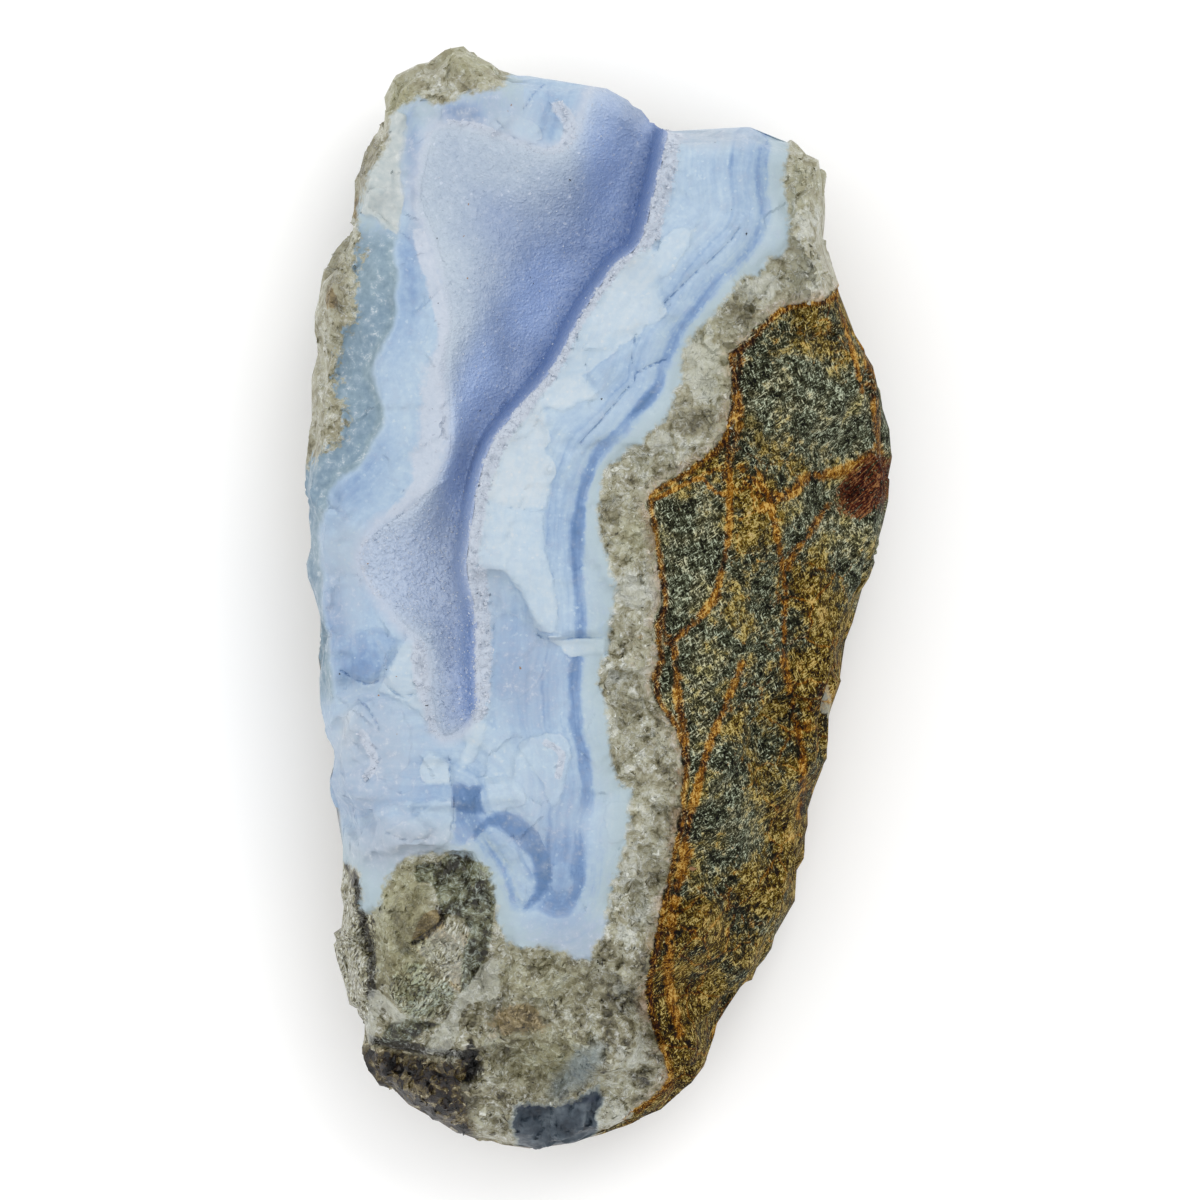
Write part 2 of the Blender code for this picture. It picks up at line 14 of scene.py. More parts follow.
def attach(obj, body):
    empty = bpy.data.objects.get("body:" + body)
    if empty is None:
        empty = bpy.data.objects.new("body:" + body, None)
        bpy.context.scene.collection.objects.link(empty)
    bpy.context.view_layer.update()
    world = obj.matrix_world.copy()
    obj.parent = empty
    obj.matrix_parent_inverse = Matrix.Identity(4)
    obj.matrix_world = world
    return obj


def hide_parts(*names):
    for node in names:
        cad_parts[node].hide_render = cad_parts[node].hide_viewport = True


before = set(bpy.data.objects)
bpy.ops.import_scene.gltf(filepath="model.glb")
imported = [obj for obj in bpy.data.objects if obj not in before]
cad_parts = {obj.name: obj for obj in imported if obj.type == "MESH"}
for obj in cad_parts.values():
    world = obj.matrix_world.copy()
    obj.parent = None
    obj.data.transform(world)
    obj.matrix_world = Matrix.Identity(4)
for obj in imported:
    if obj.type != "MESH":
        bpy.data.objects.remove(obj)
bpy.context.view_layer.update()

MM = 0.001
SEED = 11

# Meshing: voxel sizes in metres and the most triangles of the stone
COARSE_VOXEL = 0.0008
FINE_VOXEL = 0.00036
STONE_TRIANGLES = 195000

# The druse: spacing of its net, how far it reaches past the hollow's edge and keeps from the
# outline, how far it stands over its bed and is tucked under the surface at its edge, crystal
# heights with what the lower part adds, broad and small lumps, and thickness
DRUSE_SPACING = 0.25
DRUSE_REACH = 0.12
DRUSE_SIDE_INSET = 0.7
DRUSE_RAISE = 0.12
DRUSE_TUCK = 0.18
DRUSE_RISE = 0.10
DRUSE_RISE_LOW = 0.14
DRUSE_LUMPS = ((1.3, 0.05, 14.0), (4.0, 0.14, 17.0))
DRUSE_THICKNESS = 1.0

# Grains: shapes modelled once and the points of each, then how many of each kind, half sizes
# and how deep they sit as a share of the half size. Quartz grains lie only above a height, and
# below the foot's top line they keep from the outline
SHARD_SHAPES = 7
SHARD_CORNERS = 9
QUARTZ_COUNT = 3200
QUARTZ_SIZE = (0.4, 1.15)
QUARTZ_SINK = 0.62
GRAINS_FROM_HEIGHT = 4.0
FOOT_TOP = -48.0
SUGAR_COUNT = 5200
SUGAR_SIZE = (0.14, 0.36)
SUGAR_SINK = 0.5
SPARK_COUNT = 1100
SPARK_SIZE = (0.07, 0.19)
SPARK_SINK = 0.2
SPARKS_ON_UPPER_PART = 0.12
SPECK_SINK = 0.45

# The view straight down on the broken face: the picture is this wide at this height
VIEW_WIDTH = 0.144
VIEW_HEIGHT = 0.026
LENS = 420.0
SENSOR = 36.0

# Studio light: strength of the even white around, then each soft lamp
WORLD_LIGHT = 1.05
LIGHTS = (
    ("key_light", (0.35, 0.5, 0.85), 0.6, 3.0, (1.0, 0.995, 0.985)),
    ("left_light", (-0.7, 0.1, 0.6), 0.6, 1.3, (0.98, 0.99, 1.0)),
)

# What the studio adds to a base colour: its whole strength on a level face, and plain gloss
STUDIO_GAIN = 1.27
SHEEN = 0.010

# Where the broken face turns over into the sides
SHOULDER_DROP = 5.0
SHOULDER_WIDTH = 3.0
SIDE_LEAST = 4.0
SLAB_HALF = 3.0
BASE_TRIM = 0.5

# The hollow: a steep wall under the ridge, easing towards its foot, and a gentle bank
CLIFF_WIDTH = 1.7
CLIFF_WIDTH_LOW = 3.4
CLIFF_EASES_FROM = 6.0
CLIFF_EASES_OVER = 14.0
BANK_FROM = 0.2
LIP_HEIGHT = 1.1
LIP_WIDTH = 1.6
LIP_CRYSTAL = 2.6
CRUST_DEPTH = 1.65

# Broad relief of the broken face and of the sides
SWELL_SIZE = 17.0
SWELL_HEIGHT = 0.5
FLAKE_SIZE = 13.0
FLAKE_TILT_AGATE = 0.07
FLAKE_TILT_ROCK = 0.17
CHIP_SIZE = 5.0
CHIP_TILT_QUARTZ = 0.24
CHIP_TILT_HOST = 0.14
GRAIN_SIZE = 4.4
GRAIN_HEIGHT = 0.7
FLOOR_SWELL_SIZE = 9.0
FLOOR_SWELL_HEIGHT = 0.5
SIDE_CHIP_DEPTH = 0.6
SIDE_SMOOTHING = 5
SIDE_CHIPS = ((10.0, 0.22, 0.0), (4.0, 0.12, 80.0))
SIDE_GRAIN = 1.8
BACK_FLAKE_SIZE = 14.0
BACK_FLAKE_TILT = 0.12

# Fine relief of the broken face: chips and roughness sizes, then the depth of what is cut in
LARGE_CHIP = 2.1
SMALL_CHIP = 0.9
ROCK_ROUGHNESS = 1.6
AGATE_FLAKE = 6.0
AGATE_ROUGHNESS = 2.6
CRACK_DEPTH = 0.25
CRACK_WIDTH = 0.22
GAP_DEPTH = 0.5
BAND_DEPTH = 0.16
BAND_HALF = 0.8

# Share of the fine relief that fades out where the face turns over into the hollow
CALM_BY_HOLLOW = 0.75

# The broken chunk's outline seen from above, clockwise from its top point
OUTLINE = (
    (-17.5, 67.0), (-15.6, 66.4), (-14.0, 65.0), (-11.4, 64.0), (-8.5, 63.0), (-4.8, 62.5),
    (-2.0, 62.2), (1.8, 61.2), (4.8, 59.3), (7.5, 57.0), (9.6, 56.5), (12.2, 56.3), (15.1, 56.8),
    (18.2, 57.0), (21.5, 55.3), (22.7, 55.6), (24.1, 54.4), (26.2, 54.0), (27.2, 52.0),
    (27.3, 48.0), (27.5, 43.7), (28.2, 39.8), (29.2, 36.5), (30.7, 32.4), (32.6, 29.2),
    (33.6, 25.8), (34.7, 21.6), (35.4, 17.4), (35.8, 14.0), (35.0, 10.2), (33.8, 5.8),
    (33.2, 2.4), (31.4, -1.4), (29.9, -5.8), (29.0, -10.5), (27.6, -14.4), (27.4, -19.7),
    (25.6, -22.6), (25.2, -27.0), (24.4, -33.4), (23.3, -37.0), (21.2, -41.3), (18.6, -45.6),
    (14.5, -50.5), (13.1, -55.2), (10.0, -59.3), (6.0, -62.2), (2.2, -64.4), (-1.0, -65.2),
    (-4.2, -66.8), (-7.2, -67.0), (-10.6, -66.0), (-16.6, -65.4), (-20.2, -63.0), (-24.6, -60.0),
    (-28.0, -57.5), (-29.3, -52.8), (-30.7, -46.8), (-32.3, -41.5), (-31.7, -36.0), (-31.0, -31.4),
    (-31.2, -27.4), (-32.8, -23.0), (-32.5, -19.2), (-33.5, -14.6), (-34.2, -7.2), (-34.9, -0.2),
    (-35.6, 4.6), (-35.3, 9.6), (-35.7, 14.0), (-35.2, 19.2), (-35.2, 25.0), (-34.1, 29.8),
    (-34.6, 33.4), (-33.4, 39.5), (-31.7, 43.4), (-30.2, 46.5), (-29.9, 50.6), (-28.7, 53.7),
    (-26.9, 57.1), (-26.2, 61.0), (-25.1, 62.9), (-21.8, 64.8), (-20.6, 64.7), (-18.8, 66.4),
)

# The hollow's edge: the steep ridge down its right side, then the low bank up its left
RIDGE = (
    (8.0, 58.0), (7.6, 54.0), (6.2, 48.0), (4.6, 42.6), (1.6, 39.8), (-1.9, 34.7),
    (-5.8, 27.6), (-9.1, 23.6), (-12.6, 19.4), (-14.4, 14.8), (-15.6, 7.8), (-16.0, 3.5),
    (-14.8, -2.4), (-14.8, -8.0), (-14.6, -13.2),
)
BANK = (
    (-17.0, -16.0), (-19.2, -16.2), (-20.4, -12.0), (-20.6, -6.2), (-24.0, -2.8), (-27.8, 2.4),
    (-28.6, 5.8), (-26.4, 9.0), (-22.6, 11.0), (-19.6, 14.5), (-17.9, 19.2), (-18.7, 28.0),
    (-18.0, 34.5), (-20.0, 43.0), (-21.9, 47.5), (-21.4, 52.0), (-19.4, 56.8), (-12.0, 55.4),
    (-6.2, 53.6), (-3.2, 55.2), (-1.6, 60.0), (0.5, 62.5), (4.5, 61.5),
)
HOLLOW = RIDGE + BANK

# The host rock's edge against the quartz rind; its own side is to the right of this line
HOST_EDGE = (
    (30.5, 42.0), (28.4, 37.4), (26.0, 35.8), (22.4, 35.4), (19.2, 33.2), (17.5, 31.2),
    (15.2, 29.4), (15.4, 27.4), (15.6, 24.4), (15.2, 21.6), (14.4, 19.2), (12.4, 17.2),
    (9.4, 15.0), (7.2, 13.8), (5.8, 12.6), (5.6, 11.0), (6.4, 7.2), (7.0, 2.0), (7.3, -0.6),
    (6.4, -2.8), (6.8, -7.2), (6.0, -9.2), (6.6, -12.2), (9.0, -15.8), (9.8, -19.8), (9.6, -24.8),
    (8.8, -29.4), (7.8, -34.0), (6.6, -39.8), (5.4, -46.2), (5.6, -49.4), (6.8, -53.0),
    (8.0, -56.2), (8.0, -57.6), (6.8, -59.2), (4.6, -61.0),
)

# The agate's edge against the quartz rind, down the right side and around the foot
AGATE_EDGE = (
    (22.8, 58.0), (22.3, 52.7), (22.0, 50.0), (22.2, 48.0), (22.6, 46.0), (22.2, 41.6),
    (20.2, 40.7), (18.8, 38.9), (17.0, 38.6), (14.8, 35.6), (13.2, 33.8), (11.4, 32.0),
    (10.2, 30.4), (9.8, 27.8), (9.0, 24.4), (7.8, 21.8), (6.2, 20.2), (4.4, 18.6), (2.0, 17.0),
    (0.4, 15.0), (0.0, 12.8), (-0.2, 9.2), (0.4, 6.2), (1.8, 1.2), (1.2, -2.8), (0.6, -6.4),
    (-0.4, -9.4), (0.8, -13.0), (1.2, -19.0), (2.6, -22.2), (3.6, -22.8), (3.4, -26.4),
    (2.5, -31.0), (1.2, -35.0), (0.6, -39.0), (-1.4, -43.0), (-4.0, -42.2), (-7.8, -41.4),
    (-10.3, -41.4), (-11.6, -39.8), (-12.4, -37.0), (-13.0, -32.8), (-15.6, -30.5),
    (-17.6, -30.0), (-20.5, -30.5), (-23.8, -31.2), (-25.4, -33.2), (-27.2, -37.6),
    (-28.6, -37.0), (-28.8, -33.0), (-30.6, -31.6), (-33.0, -30.8),
)

# Heights of the broken face, hollow left aside
FACE_SPOTS = (
    (-33.0, 0.0, 30.0), (-32.0, 28.0, 29.5), (-33.0, -14.0, 30.5), (-31.0, -29.0, 28.5),
    (-27.0, 50.0, 28.0), (-22.0, 62.0, 27.0), (-28.0, 15.0, 32.5), (-25.0, 36.0, 32.0),
    (-21.0, 28.0, 33.5), (-24.0, -6.0, 33.5), (-27.0, -16.0, 32.0), (-23.0, -26.0, 34.0),
    (-15.0, 61.0, 29.5), (-8.0, 58.5, 31.0), (2.0, 60.5, 31.5), (8.5, 50.0, 36.5),
    (7.5, 41.0, 37.0), (0.5, 32.0, 37.2), (-8.0, 18.5, 37.4), (-12.0, 6.0, 37.0),
    (-9.0, -5.0, 36.0), (-6.0, -16.0, 35.5), (-11.0, -25.0, 35.4), (14.5, 52.0, 35.0),
    (13.0, 38.0, 36.0), (3.5, 23.0, 36.8), (-2.0, 6.0, 36.4), (-2.0, -14.0, 35.8),
    (-3.0, -30.0, 35.5), (-8.0, -38.0, 33.6), (24.5, 50.0, 32.0), (21.0, 40.0, 34.0),
    (12.5, 25.0, 35.4), (4.0, 9.0, 35.8), (4.5, -9.0, 35.5), (5.5, -25.0, 34.8),
    (3.5, -40.0, 33.2), (1.0, -52.0, 29.5), (3.0, -61.0, 23.0), (29.0, 30.0, 30.5),
    (22.0, 28.5, 34.2), (18.0, 10.0, 34.8), (12.0, 0.0, 34.6), (13.0, -20.0, 33.6),
    (10.5, -38.0, 30.5), (9.0, -53.0, 26.0), (25.5, 1.0, 31.0), (33.5, 15.0, 25.0),
    (30.0, 0.0, 24.0), (22.0, -18.0, 28.0), (25.0, -30.0, 21.5), (19.0, -40.0, 22.0),
    (14.0, -49.0, 20.5), (-20.0, -38.0, 33.0), (-24.0, -46.0, 30.0), (-12.0, -46.0, 31.0),
    (-16.0, -52.0, 28.5), (-30.0, -42.0, 24.5), (-30.0, -51.0, 23.5), (-25.0, -57.0, 22.0),
    (-19.0, -57.0, 24.0), (-11.0, -57.0, 25.0), (-5.0, -59.5, 24.5), (-6.0, -65.0, 21.0),
    (-14.0, -64.0, 20.5),
)

# Heights of the druse on the hollow's floor, deepest under the ridge
FLOOR_SPOTS = (
    (-20.5, 52.0, 30.6), (-10.0, 51.0, 29.2), (0.0, 59.0, 27.6), (5.5, 57.0, 25.6),
    (3.5, 48.0, 25.0), (-5.0, 46.0, 27.4), (-13.0, 41.0, 29.8), (-17.0, 36.0, 31.0),
    (-2.5, 38.0, 25.4), (-8.5, 30.0, 27.0), (-15.0, 26.0, 29.6), (-11.0, 22.5, 27.6),
    (-15.6, 16.0, 29.6), (-17.5, 9.0, 29.8), (-20.5, 1.0, 30.6), (-26.5, 5.0, 31.8),
    (-25.0, -1.0, 32.0), (-18.0, -4.0, 31.6), (-17.5, -11.0, 33.2),
)

# Broken facets of the underside: direction they face in degrees, where each leaves the
# resting facet and its steepness
BACK_FACETS = (
    (-8.0, 18.0, 0.62), (38.0, 31.0, 0.55), (78.0, 48.0, 0.75), (112.0, 40.0, 0.5),
    (160.0, 20.0, 0.5), (186.0, 21.0, 0.7), (222.0, 33.0, 0.55), (262.0, 47.0, 0.55),
    (296.0, 41.0, 0.5), (332.0, 24.0, 0.45),
)

# Edges of large plates, and the lines where the left side's agate and rock begin
PLATE_FOOT = (
    (-16.1, 4.7), (-14.0, 3.2), (-11.8, 3.1), (-10.9, 2.5), (-9.5, 1.0), (-9.0, -0.7),
    (-7.8, -2.9), (-6.0, -4.8), (-2.4, -4.4), (1.4, -4.3),
)
SUGAR_PLATE_EDGE = (
    (-4.5, -16.0), (-8.4, -16.4), (-10.2, -18.6), (-10.4, -22.0), (-13.0, -21.6), (-17.8, -19.0),
    (-18.0, -24.0),
)
LEFT_LINE = (
    (-24.8, 43.6), (-24.7, 36.1), (-25.0, 33.0), (-27.0, 29.2), (-27.6, 27.0), (-26.2, 23.3),
    (-26.4, 20.8), (-28.8, 16.9), (-31.7, 14.3), (-33.5, 9.8), (-34.0, 7.4), (-33.5, 3.4),
    (-33.6, -0.1), (-32.8, -5.4), (-32.4, -12.2),
)
LEFT_ROCK_LINE = (
    (-29.8, 48.5), (-28.9, 45.1), (-28.7, 41.5), (-29.2, 37.1), (-28.9, 34.0), (-30.4, 31.7),
    (-31.8, 26.8), (-31.3, 24.4), (-30.1, 22.8), (-30.4, 19.2), (-32.4, 18.2), (-35.8, 15.6),
)

# Steps of the broken face: points along the edge, drop on its right-hand side, fading length
LEDGES = (
    (PLATE_FOOT, 1.7, 5.0),
    (((6.0, 41.0), (7.9, 34.6), (4.8, 31.4), (-0.2, 28.3), (-1.8, 27.1), (-0.4, 24.6)), 1.0, 5.0),
    (((-7.0, 23.8), (-6.6, 19.2), (-5.3, 16.6), (-3.0, 12.0)), 0.9, 4.0),
    (SUGAR_PLATE_EDGE, 1.2, 4.0),
    (((-31.2, -8.6), (-29.5, -9.5), (-27.6, -10.0), (-26.0, -8.5), (-24.4, -4.6)), 1.4, 4.0),
    (((-33.5, -25.0), (-27.0, -24.0), (-19.0, -25.0), (-10.0, -24.0), (-6.5, -29.0)), 1.0, 4.0),
    (LEFT_ROCK_LINE, -1.3, 4.0),
    (LEFT_LINE, 1.0, 3.5),
    (((-20.0, 60.5), (-12.0, 61.0), (-10.5, 57.5), (-14.0, 54.5)), -1.0, 4.0),
    (((-33.0, -29.5), (-28.5, -31.0), (-22.8, -29.6), (-15.6, -30.6), (-11.6, -38.5)), 2.0, 5.0),
    (((-27.0, -36.0), (-26.5, -44.0), (-24.0, -52.0)), 2.6, 6.0),
    (((-27.0, -53.5), (-20.0, -54.5), (-12.0, -54.0), (-4.0, -56.5), (3.0, -58.5)), 2.2, 6.0),
    (HOST_EDGE, 0.9, 3.0),
)

# The thick dark band of the wall, which turns under the hollow and runs out at the left
THICK_BAND = (
    (19.9, 54.1), (19.4, 51.4), (19.8, 46.0), (18.1, 42.0), (14.3, 37.9), (11.2, 34.0),
    (8.2, 29.3), (7.2, 26.0), (6.2, 24.0), (3.5, 20.8), (0.0, 17.3), (-1.8, 13.4), (-2.5, 8.8),
    (-2.6, 4.8), (-2.2, 0.6), (-2.2, -4.0), (-2.8, -9.5), (-3.0, -12.0), (-1.9, -17.6),
    (-1.4, -22.6), (-2.2, -27.6), (-2.5, -32.9), (-3.6, -36.6), (-5.4, -37.2), (-7.4, -36.4),
    (-9.4, -36.8), (-10.8, -35.5), (-12.0, -33.5), (-13.0, -31.4), (-14.6, -29.0),
    (-16.6, -26.4), (-17.8, -23.6), (-20.5, -23.2), (-24.0, -23.2), (-26.5, -23.6),
    (-28.5, -25.0), (-30.5, -24.8), (-34.0, -25.6),
)

# How strong the thick band is along its way: place and share, weighted by closeness
BAND_STRENGTH = (
    (19.5, 50.0, 0.6), (17.0, 41.0, 0.55), (10.0, 32.5, 0.75), (3.5, 21.0, 0.85),
    (-2.0, 12.0, 1.0), (-2.4, 0.0, 0.9), (-2.8, -12.0, 1.0), (-1.6, -20.0, 1.05),
    (-1.8, -23.6, 0.85), (-2.0, -26.4, 0.15), (-2.2, -29.0, 0.1), (-2.8, -33.0, 0.1),
    (-5.0, -37.0, 0.4), (-9.0, -36.5, 0.2), (-12.0, -33.0, 0.1), (-15.0, -28.0, 0.1),
    (-18.0, -24.0, 0.3), (-24.0, -23.4, 0.3), (-30.0, -24.8, 0.3),
)

# Painted light: paler stretches of the druse on its slope, where the lamps leave it darker: middle, half
# sizes and turn in degrees
DRUSE_PAINTED_LIGHT = (
    ((0.6, 53.0), (3.0, 8.0), 0.0), ((-14.8, 25.0), (2.6, 9.0), -14.0),
    ((-16.0, 14.4), (2.8, 5.4), 0.0), ((-8.0, 36.0), (3.4, 7.0), -30.0),
)

# Rust that follows old cracks in the host rock: points, half width and strength
RUST_VEINS = (
    (((15.2, 21.0), (15.5, 9.6), (14.4, 3.0), (13.6, 0.2), (11.3, -2.6), (8.0, -5.2)), 0.5, 1.0),
    (((6.6, 12.0), (9.6, 13.6), (12.0, 14.6), (13.4, 13.2), (15.2, 12.4)), 0.35, 1.0),
    (((18.0, 14.6), (20.0, 12.7), (21.0, 8.3), (22.2, 2.0), (22.1, -1.7), (22.0, -7.2)), 0.5, 1.0),
    (((19.4, 11.0), (21.4, 12.4), (23.2, 13.0), (24.7, 14.5), (29.2, 15.5), (32.5, 17.4)), 0.8, 1.0),
    (((27.4, 11.4), (26.0, 9.6), (25.1, 8.0), (23.5, 6.1), (22.4, 3.6)), 0.6, 1.0),
    (((31.0, 37.0), (31.6, 33.0), (32.4, 28.0), (32.9, 24.5), (33.5, 18.0)), 0.75, 1.0),
    (((7.4, -2.5), (8.8, -6.2), (9.4, -12.4), (10.0, -15.4), (10.0, -18.6)), 0.7, 1.0),
    (((17.0, -7.6), (15.5, -11.4), (13.1, -17.2), (11.5, -22.8), (10.2, -28.8), (9.6, -33.0)), 0.6, 1.0),
    (((8.4, -5.0), (11.6, -2.4), (14.0, 0.6)), 0.6, 1.0),
    (((22.0, -7.2), (23.4, -14.0), (24.4, -20.0), (24.0, -26.0)), 0.6, 1.0),
    (((9.6, -52.0), (8.2, -46.0), (8.6, -38.0), (10.4, -30.0)), 0.8, 1.0),
    (((17.0, 31.0), (16.4, 26.0), (16.6, 21.0), (15.4, 18.0)), 0.7, 1.0),
    (((28.4, 36.0), (30.2, 30.0), (31.4, 25.0)), 0.4, 1.0),
)

# How rusty brown the host rock is: place and share, weighted by closeness
HOST_BROWN = (
    (23.0, 26.0, 0.05), (30.0, 22.0, 0.1), (27.0, 33.5, 0.55), (19.0, 30.5, 0.35),
    (18.0, 23.0, 0.1), (20.0, 17.5, 0.35), (18.6, 13.0, 0.75), (12.6, 17.6, 0.75),
    (11.0, 7.0, 0.02), (10.0, 1.0, 0.05), (13.0, 11.0, 0.15), (18.6, 7.0, 0.45),
    (17.4, 1.0, 0.3), (19.6, -5.0, 0.35), (25.0, 11.0, 0.1), (30.0, 8.0, 0.1),
    (31.0, 2.0, 0.3), (26.0, 0.5, 0.8), (28.4, -5.0, 0.75), (24.6, -12.0, 0.85),
    (27.4, -18.0, 0.7), (12.4, -9.6, 0.05), (11.6, -15.0, 0.15), (17.0, -13.0, 0.45),
    (19.4, -20.0, 0.5), (14.6, -22.6, 0.1), (17.0, -28.0, 0.12), (13.0, -32.0, 0.2),
    (22.6, -27.0, 0.85), (24.0, -33.0, 0.8), (18.0, -35.0, 0.65), (11.0, -40.0, 0.8),
    (20.0, -40.0, 0.4), (15.0, -44.0, 0.55), (9.0, -48.0, 0.9), (13.0, -52.0, 0.7),
    (8.6, -58.0, 0.95), (4.0, -62.0, 0.6),
)

# Hairline cracks in the agate
CRACKS = (
    ((16.8, 44.6), (15.6, 43.0), (14.3, 41.5), (11.6, 39.2), (7.7, 35.4)),
    ((4.3, 31.6), (3.8, 29.0), (4.2, 26.2)),
    ((8.2, 28.8), (6.2, 28.0), (4.3, 27.0)),
    ((-7.6, -4.0), (-6.0, -4.8), (-2.4, -4.5), (1.4, -4.3)),
    ((-18.0, -19.0), (-17.9, -21.4), (-17.4, -25.0), (-18.0, -28.0)),
    ((-27.6, 47.0), (-25.8, 45.6), (-24.0, 44.2), (-22.8, 43.2)),
    ((-31.0, -8.4), (-29.5, -9.4), (-27.6, -10.1), (-26.1, -9.4)),
    ((-25.8, -9.8), (-23.6, -11.6), (-21.0, -10.6)),
    ((3.4, 25.4), (0.6, 22.0), (-2.4, 18.6)),
    ((-9.2, 58.6), (-8.0, 60.6), (-6.6, 61.8)),
    ((-12.4, 57.4), (-10.6, 55.4), (-7.6, 53.8)),
    ((-29.0, -11.8), (-27.4, -13.4), (-26.4, -15.6)),
    ((-25.6, -27.8), (-22.8, -28.8), (-20.4, -28.4)),
)

# Sugary white strips of broken crystal: points, half width and how coarse the crystals are
SUGAR_STRIPS = (
    (((8.6, 56.2), (8.0, 52.6), (7.2, 49.0), (6.4, 46.6), (6.2, 44.4), (5.4, 43.0)), 1.15, 1.0),
    (((5.4, 43.0), (3.0, 41.2), (1.2, 39.0), (-2.1, 34.2), (-5.8, 27.2), (-9.1, 23.0)), 0.75, 0.9),
    (((-9.1, 23.0), (-12.2, 18.8), (-14.0, 14.2), (-15.2, 7.8), (-15.6, 4.4)), 0.95, 0.8),
    (((-21.6, 43.6), (-20.0, 38.0), (-18.9, 34.0), (-18.5, 30.0)), 0.8, 0.03),
    (((-18.9, 28.0), (-19.6, 24.0), (-19.9, 20.0), (-20.8, 16.0)), 1.8, 0.04),
    (((-20.8, 16.0), (-22.0, 12.6), (-24.4, 9.8)), 1.1, 0.04),
    (((-14.6, 3.0), (-14.2, -2.0), (-13.9, -6.0), (-14.2, -10.0), (-14.6, -13.4)), 1.0, 0.7),
    (((-21.6, -5.6), (-21.4, -9.0), (-20.4, -12.0), (-19.6, -15.0)), 0.9, 0.55),
    (((-18.0, 57.2), (-14.0, 56.6), (-10.6, 54.6), (-8.6, 53.6)), 0.35, 0.3),
    (((-8.6, 53.6), (-6.0, 53.2), (-4.0, 54.6), (-3.6, 57.0), (-5.0, 59.0)), 0.75, 0.4),
    (((-28.0, 7.0), (-28.2, 4.0), (-26.4, 0.6)), 0.45, 0.5),
    (((-6.4, -17.0), (-4.6, -18.4), (-5.0, -21.0)), 0.4, 0.3),
    (((-28.4, -16.0), (-27.0, -19.0), (-27.8, -21.0)), 0.5, 0.4),
)

